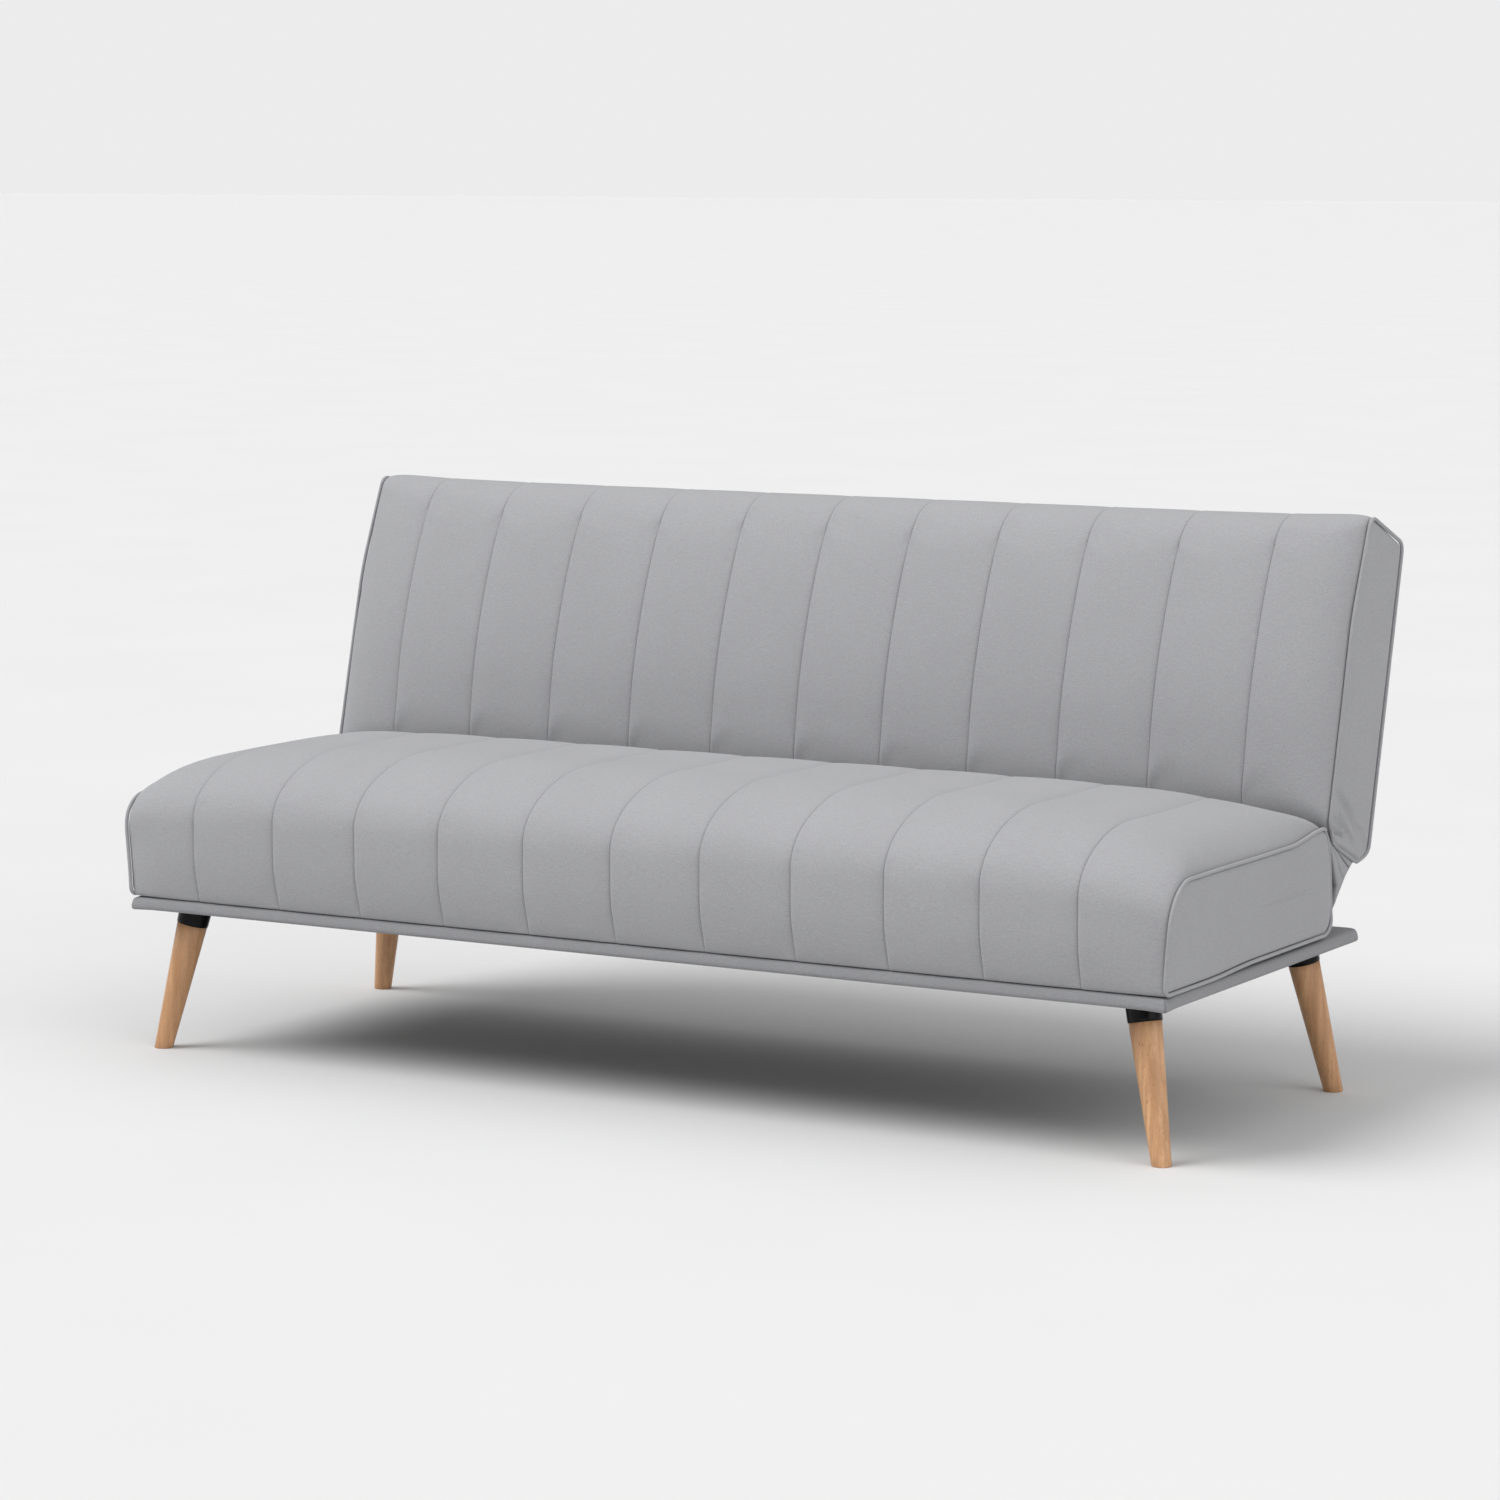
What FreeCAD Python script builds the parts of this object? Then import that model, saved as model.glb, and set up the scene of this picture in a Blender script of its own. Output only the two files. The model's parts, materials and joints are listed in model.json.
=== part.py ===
import FreeCAD, Part
import math
import os
import re

import Sketcher

# Click-clack sofa bed: an upholstered seat on a fabric-wrapped platform with four splayed wooden
# legs, and a padded back that reclines flat on two steel ratchet hinges.
# Millimetres. X runs along the sofa, Y from its front to its back, Z up from the floor.
# In the sizes, Y is measured from the platform's front edge. The origin is on the floor, in the
# middle of the whole sofa's width and depth.

SIZES = [
    # overall
    ("bed_width", 1750, "across the cords that edge the two ends"),
    ("fabric_gap", 0.3, "between separate soft pieces that touch"),
    ("side_gap", 0.25, "between steel plates that turn past each other"),
    ("fit_gap", 0.05, "on the radius of a bolt or pin in its hole"),
    # platform
    ("platform_depth", 677, "front to back over its fabric"),
    ("platform_radius", 18, "rear corners of the platform in plan"),
    ("platform_front_radius", 7, "its front corners"),
    ("side_padding", 6, "fabric and wadding round the board's edge"),
    ("underside_height", 221.5, "floor to the platform's underside"),
    ("board_thickness", 15, "plywood"),
    ("wrap_thickness", 2, "fabric round the board"),
    ("wrap_lip", 40, "how far the fabric turns in under the board"),
    ("cloth_thickness", 1, "dust cloth under the board"),
    ("cloth_leg_gap", 3, "dust cloth round the collars"),
    # legs
    ("foot_side_inset", 26.3, "foot centre in from the platform's end"),
    ("foot_front_inset", 46.2, "foot centre in from the platform's front"),
    ("foot_rear_inset", 36.1, "foot centre in from the platform's rear"),
    ("leg_lean_side", 45, "how far the leg's top lies inside its foot, sideways"),
    ("leg_lean_depth", 30, "the same, front to back"),
    ("foot_radius", 14.05, "leg at the floor"),
    ("leg_radius", 23.4, "leg where it meets its collar"),
    ("collar_height", 30, "collar along the leg"),
    ("collar_radius", 24.4, "collar at the leg"),
    ("collar_flare", 1.2, "how much wider the collar is at the platform"),
    ("level_reach", 8, "how far along the leg its level cuts reach"),
    ("hanger_radius", 4, "bolt that joins the leg to the board"),
    ("hanger_grip", 34, "bolt in the leg"),
    ("hanger_rise", 11, "bolt in the board"),
    # seat
    ("panel_thickness", 2, "end panels"),
    ("cover_thickness", 2, "covers"),
    ("seat_lift", 6, "spacers between the platform and the seat"),
    ("spacer_radius", 22, "the same"),
    ("seat_setback", 4, "seat's front bottom edge behind the platform's"),
    ("seat_top_depth", 537, "end panel, front to back at the top"),
    ("seat_bottom_depth", 566, "end panel, front to back at the bottom"),
    ("seat_end_height", 147, "end panel"),
    ("seat_front_round", 48, "front top corner of the end panel"),
    ("seat_rear_round", 26, "rear top corner of the end panel"),
    ("small_round", 9, "bottom corners"),
    ("seat_crown", 78.5, "how far the middle of the seat stands above its end panels"),
    ("seat_bulge", 24, "how far the middle of the seat's front stands out"),
    ("seat_crown_depth", 558, "front to back at the top, over the crown"),
    ("seat_front_reach", 185, "rounding of the crowned front edge, along the top"),
    ("seat_front_drop", 96, "the same, down the front"),
    ("seat_rear_reach", 206, "rounding of the crowned rear edge, along the top"),
    ("seat_rear_drop", 182, "the same, down the rear"),
    ("seat_crown_power", 5.6, "how late the crown falls away towards the ends"),
    ("channel_count", 12, "sewn channels"),
    ("channel_pitch", 148.9, "seam to seam"),
    ("seam_depth", 3, "how far a seam pulls the cover in"),
    ("piping_radius", 2.8, "cord round the end panels"),
    # seat frame
    ("rail_thickness", 25, "wooden rails and stiles"),
    ("seat_rail_height", 60, "seat rails"),
    ("seat_frame_front", 34, "front face of the front rail"),
    ("seat_frame_rear_inset", 30, "rear face of the rear rail in from the seat's rear bottom edge"),
    ("frame_end_inset", 60, "outer face of the side rails and stiles in from the sofa's end"),
    ("cross_count", 2, "rails and stiles across each frame"),
    ("strap_width", 50, "elastic straps"),
    ("strap_thickness", 3, "elastic straps"),
    ("strap_count", 9, "straps in the seat and in the back"),
    ("strap_end_inset", 70, "middle of the outer straps in from the side members"),
    ("bolt_radius", 4, "bolts that hold the seat on the board"),
    ("bolt_head_radius", 8, "their heads"),
    ("bolt_head_height", 4, "their heads"),
    ("bolt_count", 3, "bolts along each rail"),
    ("bolt_pitch", 560, "bolt to bolt along the sofa"),
    ("bolt_grip", 35, "bolt in the rail"),
    # back, in its own frame: depth from the pivot towards the rear face, rise along the back
    ("pivot_setback", 13, "hinge pin behind the seat's rear bottom edge"),
    ("pivot_height", 366, "hinge pin above the floor"),
    ("back_lean", 14.16, "degrees from upright"),
    ("back_rear", 116, "rear face"),
    ("back_bottom_rise", 7, "bottom edge at the rear"),
    ("back_front_rise", 32, "bottom edge at the front"),
    ("back_end_front", 33, "end panel's front edge, ahead of the pivot"),
    ("back_knee_rise", 335, "where the end panel's front edge turns back"),
    ("back_top_rise", 485, "top front corner"),
    ("back_top_front", 8, "top front corner ahead of the pivot"),
    ("back_top_slope", 18, "how much lower the top rear corner is"),
    ("back_crown", 73, "how far the middle of the back stands out"),
    ("back_crown_knee", 284, "rise of the fullest line"),
    ("back_crown_low", 45.5, "crown along the bottom edge"),
    ("back_low_drop", 10, "how much lower the crowned bottom edge is"),
    ("back_low_reach", 44, "rounding of the crowned bottom edge, along the bottom"),
    ("back_low_climb", 70, "the same, up the front"),
    ("back_top_crown", 40, "crown along the top edge"),
    ("back_crown_rise", 12, "how much higher the crowned top edge is"),
    ("back_crown_power", 8, "how late this crown falls away towards the ends"),
    ("back_knee_round", 128, "rounding of the fullest line"),
    ("back_top_reach", 39, "rounding of the crowned top edge, along the top"),
    ("back_top_climb", 52, "the same, down the front"),
    ("back_end_knee", 440, "rounding where the end panel's front edge turns back"),
    ("back_small_round", 14, "corners of the end panel"),
    # back frame
    ("back_frame_front", 64, "front face of the frame behind the pivot"),
    ("back_frame_depth", 40, "stiles and rails, front to back"),
    ("back_frame_low", 45, "bottom of the stiles"),
    ("back_frame_high", 438, "top of the stiles"),
    ("back_rail_height", 45, "top and bottom rails"),
    # hinges
    ("plate_thickness", 5, "hinge arms"),
    ("disc_radius", 32, "ratchet disc on the seat arm"),
    ("notch_depth", 4.2, "its notches"),
    ("back_disc_radius", 24, "disc on the back arm"),
    ("pin_radius", 6, "hinge pin"),
    ("pin_head_radius", 11, "its heads"),
    ("pin_head_height", 3, "its heads"),
    ("release_swing", 8, "degrees the back tips forward to release the pawl"),
    ("lounge_swing", 30, "degrees from sitting to the half-way notch"),
    ("flank_angle", 12.6, "degrees from the pawl's middle to a notch's holding flank"),
    ("ramp_angle", 3, "degrees from the pawl's middle to the foot of a notch's ramp"),
    ("ramp_run", 7, "degrees that the ramp takes to climb out"),
    ("arm_reach", 190, "seat arm ahead of the pivot"),
    ("arm_width", 44, "arms where they are screwed down"),
    ("arm_neck", 20, "half width of an arm at its disc"),
    ("arm_low_edge", 112, "seat arm's bottom edge below the pivot"),
    ("back_arm_top", 205, "back arm's top edge"),
    ("back_arm_pad_low", 95, "where the back arm meets the stile"),
    ("pawl_pin_depth", 20, "pawl's pin ahead of the pivot"),
    ("pawl_pin_rise", 47, "pawl's pin above the pivot, along the back"),
    ("pawl_pin_radius", 3, "pawl's pin"),
    ("pawl_hub_radius", 7, "pawl round its pin"),
    ("pawl_reach", 28.5, "pawl's pin to its nose"),
    ("pawl_nose", 6, "length of the nose's sole"),
    ("pawl_waist", 1, "top of its nose below its pin"),
    ("pawl_head_lip", 2, "head of its pin, past the pin"),
    ("pawl_head_height", 1, "the same"),
    ("pawl_nose_rise", 34.6, "sole above the pivot when the pawl is lifted"),
    ("screw_radius", 3, "hinge screws"),
    ("screw_head_radius", 6, "their heads"),
    ("screw_head_height", 2.5, "their heads"),
    ("screw_grip", 18, "screw in the wood"),
    ("screw_pitch", 40, "screw to screw"),
    ("screw_count", 3, "screws in each arm"),
    ("back_screw_rise", 15, "lowest screw above the foot of the back arm's pad"),
    ("pocket_wall", 4, "free space beside the hinge in the padding"),
    # fabric between seat and back
    ("web_thickness", 1.5, "gathered fabric between seat and back"),
    ("web_gap", 0.4, "between this fabric and the covers"),
    ("web_end_inset", 3, "end webs in from the ends of the cover"),
    ("web_rise", 4, "how far the gathered strip bows inwards"),
]

doc = FreeCAD.newDocument("SofaBed")
sheet = doc.addObject("Spreadsheet::Sheet", "Sizes")
for row, (alias, number, note) in enumerate(SIZES, start=1):
    sheet.set(f"A{row}", alias)
    sheet.set(f"B{row}", str(number))
    sheet.setAlias(f"B{row}", alias)
    sheet.set(f"C{row}", note)
doc.recompute()

sub_parts = []


def linked(formula):
    # every size's name holds an underscore, and is looked up in the sheet
    return re.sub(r"\b[a-z]+(?:_[a-z]+)+\b", lambda name: "Sizes." + name.group(0), formula)


def value(formula):
    return float(sheet.evalExpression(linked(formula)))


def keep(piece, name):
    # a finished sub-part: its label names its file
    piece.Label = name
    sub_parts.append(piece)
    return piece


def at(x="0", y="0", z="0"):
    return FreeCAD.Placement(FreeCAD.Vector(value(x), value(y), value(z)), FreeCAD.Rotation())


# outlines of the seat and the back, in the plane across the sofa


def rounded_outline(corners, reaches, steps, x):
    # a closed outline of straight runs, with a quarter of an ellipse in a few steps at each corner
    points = [FreeCAD.Vector(x, depth, rise) for depth, rise in corners]
    outline = []
    for i, corner in enumerate(points):
        before, after = reaches[i]
        back = (points[i - 1] - corner).normalize() * before
        onward = (points[(i + 1) % len(points)] - corner).normalize() * after
        for step in range(steps[i] + 1):
            turn = math.pi / 2 * step / steps[i]
            outline.append(corner + back * (1 - math.sin(turn)) + onward * (1 - math.cos(turn)))
    return Part.makePolygon(outline + outline[:1])


def arc_outline(corners, radii, x):
    # the same with true arcs, for cords and flat panels
    points = [FreeCAD.Vector(x, depth, rise) for depth, rise in corners]
    arcs = []
    for i, corner in enumerate(points):
        back = (points[i - 1] - corner).normalize()
        onward = (points[(i + 1) % len(points)] - corner).normalize()
        half = back.getAngle(onward) / 2
        reach = radii[i] / math.tan(half)
        middle = (back + onward).normalize() * (radii[i] / math.sin(half) - radii[i])
        arcs.append((corner + back * reach, corner + middle, corner + onward * reach))
    edges = []
    for i, (start, middle, finish) in enumerate(arcs):
        edges.append(Part.Arc(start, middle, finish).toShape())
        edges.append(Part.makeLine(finish, arcs[(i + 1) % len(arcs)][0]))
    return Part.Wire(edges)


def mix(low, high, share):
    return low + (high - low) * share


def blend_pairs(ends, middles, share):
    return [(mix(a, c, share), mix(b, d, share)) for (a, b), (c, d) in zip(ends, middles)]


cover_end = "bed_width / 2 - 2 * piping_radius - fabric_gap / 2"
cover_half = value(cover_end)
seat_rear = "(seat_setback + seat_bottom_depth)"
seat_frame_rear = f"({seat_rear} - seat_frame_rear_inset)"
pivot_depth = f"({seat_rear} + pivot_setback)"
platform_top = "underside_height + board_thickness + 2 * wrap_thickness"
seat_low = f"{platform_top} + seat_lift"
seat_bottom = value(seat_low)


def crown_share(x, power):
    # none at the end panels, all of it along the middle
    return math.sqrt(max(0.0, 1 - (abs(x) / cover_half) ** value(power)))


def seat_corners(grow=0.0):
    front = value("seat_setback") - grow
    top = seat_bottom + value("seat_end_height") + grow
    top_rear = value("seat_setback + seat_top_depth") + grow
    bottom_rear = value("seat_setback + seat_bottom_depth") + grow
    return [(front, seat_bottom - grow), (front, top), (top_rear, top), (bottom_rear, seat_bottom - grow)]


def seat_radii(grow=0.0):
    names = ("small_round", "seat_front_round", "seat_rear_round", "small_round")
    return [value(name) + grow for name in names]


def seat_form(x, pulled=0.0):
    # the corners of the seat's outline at x and how far each is rounded
    share = crown_share(x, "seat_crown_power")
    small = value("small_round")
    front = value("seat_setback - seat_bulge") + pulled
    top = seat_bottom + value("seat_end_height + seat_crown") - pulled
    middle = [
        (value("seat_setback"), seat_bottom),
        (front, top),
        (value("seat_setback + seat_crown_depth"), top),
        (value("seat_setback + seat_bottom_depth"), seat_bottom),
    ]
    middle_reaches = [
        (small, small),
        (value("seat_front_drop"), value("seat_front_reach")),
        (value("seat_rear_reach"), value("seat_rear_drop")),
        (small, small),
    ]
    end_reaches = [(radius, radius) for radius in seat_radii()]
    return blend_pairs(seat_corners(), middle, share), blend_pairs(end_reaches, middle_reaches, share)


def seat_outline(x, pulled=0.0, inset=0.0):
    # pulled is how far a seam draws it in
    corners, reaches = seat_form(x, pulled)
    inward = [(inset, inset), (inset, -inset), (-inset, -inset), (-inset, inset)]
    corners = [(y + dy, z + dz) for (y, z), (dy, dz) in zip(corners, inward)]
    return rounded_outline(corners, reaches, (2, 6, 6, 2), x)


def back_corners(grow=0.0):
    front = -value("back_end_front") - grow
    rear = value("back_rear") + grow
    high = value("back_top_rise") + grow
    return [
        (front, value("back_front_rise") - grow),
        (front, value("back_knee_rise")),
        (-value("back_top_front") - grow, high),
        (rear, high - value("back_top_slope")),
        (rear, value("back_bottom_rise") - grow),
    ]


def back_radii(grow=0.0):
    small = value("back_small_round") + grow
    return [small, value("back_end_knee"), small, small, small]


def back_form(x, pulled=0.0):
    # the same for the back, in its own frame
    share = crown_share(x, "back_crown_power")
    small = value("back_small_round")
    rear = value("back_rear")
    high = value("back_top_rise")
    low_front = -value("back_end_front + back_crown_low") + pulled
    full_front = -value("back_end_front + back_crown") + pulled
    top_front = -value("back_top_front + back_top_crown") + pulled
    middle = [
        (low_front, value("back_front_rise - back_low_drop")),
        (full_front, value("back_crown_knee")),
        (top_front, high + value("back_crown_rise")),
        (rear, high - value("back_top_slope")),
        (rear, value("back_bottom_rise")),
    ]
    knee = value("back_knee_round")
    middle_reaches = [
        (value("back_low_reach"), value("back_low_climb")),
        (knee, knee),
        (value("back_top_climb"), value("back_top_reach")),
        (small, small),
        (small, small),
    ]
    end_reaches = [(small, small), (knee, knee), (small, small), (small, small), (small, small)]
    return blend_pairs(back_corners(), middle, share), blend_pairs(end_reaches, middle_reaches, share)


def back_outline(x, pulled=0.0, inset=0.0):
    corners, reaches = back_form(x, pulled)
    inward = [(inset, inset), (inset, 0), (inset, -inset), (-inset, -inset), (-inset, inset)]
    corners = [(y + dy, z + dz) for (y, z), (dy, dz) in zip(corners, inward)]
    return rounded_outline(corners, reaches, (4, 3, 5, 2, 2), x)


# shares of the way from the last seam, and from the middle, out to the end panel
end_shares = (0.35, 0.7, 0.92, 1.0)
core_shares = (0.5, 0.75, 0.9, 0.97, 1.0)


def stations():
    # (x, how far the cover is pulled in there) at every seam, channel's middle and end rounding
    pitch = value("channel_pitch")
    inner = int(value("channel_count")) - 1
    depth = value("seam_depth")
    seams = [(i - (inner - 1) / 2) * pitch for i in range(inner)]
    middles = [x + pitch / 2 for x in seams[:-1]]
    ends = [mix(seams[-1], cover_half, share) for share in end_shares]
    found = [(x, depth) for x in seams] + [(x, 0.0) for x in middles]
    found += [(side * x, 0.0) for x in ends for side in (-1, 1)]
    return sorted(found)


def cushion(outline):
    # the outer form, ruled from seam to channel and on to the next seam
    return Part.makeLoft([outline(x, pulled) for x, pulled in stations()], True, True)


def core(outline, inset, overrun=0.0):
    # the plain form inside the seams; overrun lengthens it past both ends
    depth = value("seam_depth")
    places = [0.0] + [cover_half * share for share in core_shares]
    places = sorted({side * x for x in places for side in (-1, 1)})
    body = Part.makeLoft([outline(x, depth, inset) for x in places], True, True)
    if overrun:
        for side in (-1, 1):
            cap = Part.Face(outline(side * cover_half, depth, inset))
            body = body.fuse(cap.extrude(FreeCAD.Vector(side * overrun, 0, 0)))
    return body


# where things stand

back_turn = FreeCAD.Rotation(FreeCAD.Vector(1, 0, 0), -value("back_lean"))
pivot = FreeCAD.Vector(0, value(pivot_depth), value("pivot_height"))
front_most = seat_outline(0).optimalBoundingBox(False).YMin
piping_reach = value("2 * piping_radius + fabric_gap / 2")
back_end = arc_outline(back_corners(piping_reach), back_radii(piping_reach), 0)
back_end.Placement = FreeCAD.Placement(pivot, back_turn)
rear_most = back_end.optimalBoundingBox(False).YMax
middle_depth = (front_most + rear_most) / 2

seat_frame = FreeCAD.Placement(FreeCAD.Vector(0, -middle_depth, 0), FreeCAD.Rotation())
pivot_frame = seat_frame * FreeCAD.Placement(pivot, FreeCAD.Rotation())
back_frame = seat_frame * FreeCAD.Placement(pivot, back_turn)
SIDES = (("left", -1), ("right", 1))


# makers of simple pieces


def box(name, length, width, height, x, y, z, frame=seat_frame):
    piece = doc.addObject("Part::Box", name)
    piece.setExpression("Length", linked(length))
    piece.setExpression("Width", linked(width))
    piece.setExpression("Height", linked(height))
    piece.Placement = frame * at(x, y, z)
    return piece


def cylinder(name, radius, height, frame):
    piece = doc.addObject("Part::Cylinder", name)
    piece.setExpression("Radius", linked(radius))
    piece.setExpression("Height", linked(height))
    piece.Placement = frame
    return piece


def cone(name, low_radius, high_radius, height, frame):
    piece = doc.addObject("Part::Cone", name)
    piece.setExpression("Radius1", linked(low_radius))
    piece.setExpression("Radius2", linked(high_radius))
    piece.setExpression("Height", linked(height))
    piece.Placement = frame
    return piece


def solid(name, shape, frame=seat_frame):
    piece = doc.addObject("Part::Feature", name)
    piece.Shape = shape
    piece.Placement = frame
    return piece


def group(name, pieces):
    piece = doc.addObject("Part::Compound", name)
    piece.Links = pieces
    return piece


def cut(name, base, tools):
    piece = doc.addObject("Part::Cut", name)
    piece.Refine = False
    piece.Base = base
    piece.Tool = tools[0] if len(tools) == 1 else group(name + "_cuts", tools)
    return piece


def common(name, base, tool):
    piece = doc.addObject("Part::Common", name)
    piece.Base = base
    piece.Tool = tool
    return piece


def fused(name, pieces):
    piece = doc.addObject("Part::MultiFuse", name)
    piece.Shapes = pieces
    piece.Refine = False
    return piece


def new_body(name, frame=seat_frame):
    piece = doc.addObject("PartDesign::Body", name)
    piece.Placement = frame
    return piece


def sketch_on(body, role, name, lift="0"):
    sketch = body.newObject("Sketcher::SketchObject", name)
    plane = [feature for feature in body.Origin.OriginFeatures if feature.Role == role][0]
    sketch.AttachmentSupport = [(plane, "")]
    sketch.MapMode = "FlatFace"
    sketch.setExpression("AttachmentOffset.Base.z", linked(lift))
    return sketch


def pin_down(sketch, shape, point, across, up):
    # holds one point of the sketch at its distances from the origin
    for kind, formula in (("DistanceX", across), ("DistanceY", up)):
        number = sketch.addConstraint(Sketcher.Constraint(kind, shape, point, value(formula)))
        sketch.setExpression(f"Constraints[{number}]", linked(formula))


def polygon(sketch, corners):
    points = [FreeCAD.Vector(value(across), value(up), 0) for across, up in corners]
    first = sketch.GeometryCount
    for i, point in enumerate(points):
        sketch.addGeometry(Part.LineSegment(point, points[(i + 1) % len(points)]), False)
    for i, (across, up) in enumerate(corners):
        before = first + (i - 1) % len(points)
        sketch.addConstraint(Sketcher.Constraint("Coincident", before, 2, first + i, 1))
        pin_down(sketch, first + i, 1, across, up)


def circle(sketch, across, up, radius):
    centre = FreeCAD.Vector(value(across), value(up), 0)
    shape = sketch.addGeometry(Part.Circle(centre, FreeCAD.Vector(0, 0, 1), value(radius)), False)
    pin_down(sketch, shape, 3, across, up)
    number = sketch.addConstraint(Sketcher.Constraint("Radius", shape, value(radius)))
    sketch.setExpression(f"Constraints[{number}]", linked(radius))


def pad(body, sketch, length):
    feature = body.newObject("PartDesign::Pad", sketch.Name + "_pad")
    feature.Profile = sketch
    feature.setExpression("Length", linked(length))
    return feature


def pocket(body, sketch, length):
    # cuts the way that a pad would grow
    feature = body.newObject("PartDesign::Pocket", sketch.Name + "_pocket")
    feature.Profile = sketch
    feature.Reversed = True
    feature.setExpression("Length", linked(length))
    doc.recompute()
    if feature.Shape.Volume >= feature.BaseFeature.Shape.Volume:
        raise RuntimeError(f"{feature.Name} cuts nothing")
    return feature


def slab(name, width, depth, height, radius, z, y="0", front_radius=None):
    # a board with round corners in plan; y is its front edge
    body = new_body(name, seat_frame * at("0", y, z))
    sketch = sketch_on(body, "XY_Plane", name + "_plan")
    half = f"({width}) / 2"
    corners = [(f"-{half}", "0"), (half, "0"), (half, depth), (f"-{half}", depth)]
    polygon(sketch, corners)
    pad(body, sketch, height)
    doc.recompute()
    for row, size in (("front", front_radius or radius), ("rear", radius)):
        block = body.Tip
        middle = block.Shape.BoundBox.Center.y
        upright = []
        for i, edge in enumerate(block.Shape.Edges, start=1):
            in_row = (edge.CenterOfMass.y < middle) == (row == "front")
            if in_row and abs(edge.tangentAt(edge.FirstParameter).z) > 0.99:
                upright.append(f"Edge{i}")
        fillet = body.newObject("PartDesign::Fillet", f"{name}_{row}_corners")
        fillet.Base = (block, upright)
        fillet.setExpression("Radius", linked(size))
        doc.recompute()
    return body


def spread(count, pitch):
    # places along X, even about the middle
    return [f"({i} - ({count} - 1) / 2) * {pitch}" for i in range(int(value(count)))]


# platform

board_low = "underside_height + wrap_thickness"
board_width = "bed_width - 2 * side_padding"
board_depth = "platform_depth - 2 * side_padding"
board_radius = "platform_radius - side_padding"
bolt_rows = ("seat_frame_front + rail_thickness / 2", f"{seat_frame_rear} - rail_thickness / 2")
bolt_places = [(x, y) for x in spread("bolt_count", "bolt_pitch") for y in bolt_rows]


def bolt_holes(name, low, height):
    # clearance holes for the seat bolts, through a layer
    holes = []
    for number, (x, y) in enumerate(bolt_places):
        frame = seat_frame * at(x, y, low)
        holes.append(cylinder(f"{name}_{number}", "bolt_radius + fit_gap", height, frame))
    return holes


def leg_frame(side, row):
    # along the leg's axis, from the foot's centre on the floor
    x = f"{side} * (bed_width / 2 - foot_side_inset)"
    y = "foot_front_inset" if row < 0 else "platform_depth - foot_rear_inset"
    inward = (-side * value("leg_lean_side"), -row * value("leg_lean_depth"), value("underside_height"))
    turn = FreeCAD.Rotation(FreeCAD.Vector(0, 0, 1), FreeCAD.Vector(*inward))
    return seat_frame * at(x, y, "0") * FreeCAD.Placement(FreeCAD.Vector(), turn)


leg_length = "sqrt(underside_height ^ 2 + leg_lean_side ^ 2 + leg_lean_depth ^ 2)"
leg_bare = f"{leg_length} - collar_height"
leg_spots = [
    (f"{row_name}_{side_name}", leg_frame(side, row))
    for row_name, row in (("front", -1), ("rear", 1))
    for side_name, side in SIDES
]


def leg_holes(name, radius):
    tools = []
    for spot, frame in leg_spots:
        tool = cylinder(f"{name}_{spot}", radius, f"{leg_length} + hanger_rise", frame)
        tools.append(tool)
    return tools


def make_platform():
    thick = "board_thickness"
    board = slab("board_blank", board_width, board_depth, thick, board_radius, board_low, "side_padding")
    heads = []
    for number, (x, y) in enumerate(bolt_places):
        frame = seat_frame * at(x, y, board_low)
        radius = "bolt_head_radius + fit_gap"
        heads.append(cylinder(f"head_seat_{number}", radius, "bolt_head_height", frame))
    holes = bolt_holes("board_hole", board_low, thick)
    hangers = leg_holes("board_hanger_hole", "hanger_radius + fit_gap")
    keep(cut("platform_board", board, holes + heads + hangers), "platform_board")

    height = "board_thickness + 2 * wrap_thickness"
    outer = slab("wrap_outer", "bed_width", "platform_depth", height, "platform_radius", "underside_height",
                 front_radius="platform_front_radius")
    inner = slab("wrap_inner", board_width, board_depth, thick, board_radius, board_low, "side_padding")
    opening = box(
        "wrap_opening", "bed_width - 2 * wrap_lip", "platform_depth - 2 * wrap_lip", "wrap_thickness",
        "wrap_lip - bed_width / 2", "wrap_lip", "underside_height",
    )
    holes = bolt_holes("wrap_hole", board_low, "board_thickness + wrap_thickness")
    keep(cut("platform_wrap", outer, [inner, opening] + holes), "platform_wrap")

    cloth = box(
        "cloth_sheet", "bed_width - 2 * wrap_lip - 2 * fabric_gap",
        "platform_depth - 2 * wrap_lip - 2 * fabric_gap", "cloth_thickness",
        "wrap_lip + fabric_gap - bed_width / 2", "wrap_lip + fabric_gap", f"{board_low} - cloth_thickness",
    )
    rings = []
    for spot, frame in leg_spots:
        radius = "collar_radius + collar_flare + cloth_leg_gap"
        rings.append(cylinder(f"cloth_ring_{spot}", radius, f"{leg_length} + hanger_rise", frame))
    keep(cut("underside_cloth", cloth, rings), "underside_cloth")


def turned(name, frame, radius, slope, first, last):
    # a taper along the leg's axis, between these distances from the foot
    return cone(
        name, f"{radius} + ({slope}) * ({first})", f"{radius} + ({slope}) * ({last})",
        f"({last}) - ({first})", frame * at("0", "0", first),
    )


def clip(name, piece, low, high):
    # what lies between two levels above the floor
    block = box(
        f"{name}_levels", "bed_width", "platform_depth", f"({high}) - ({low})",
        "-bed_width / 2", "0", low,
    )
    return common(name, piece, block)


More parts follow.
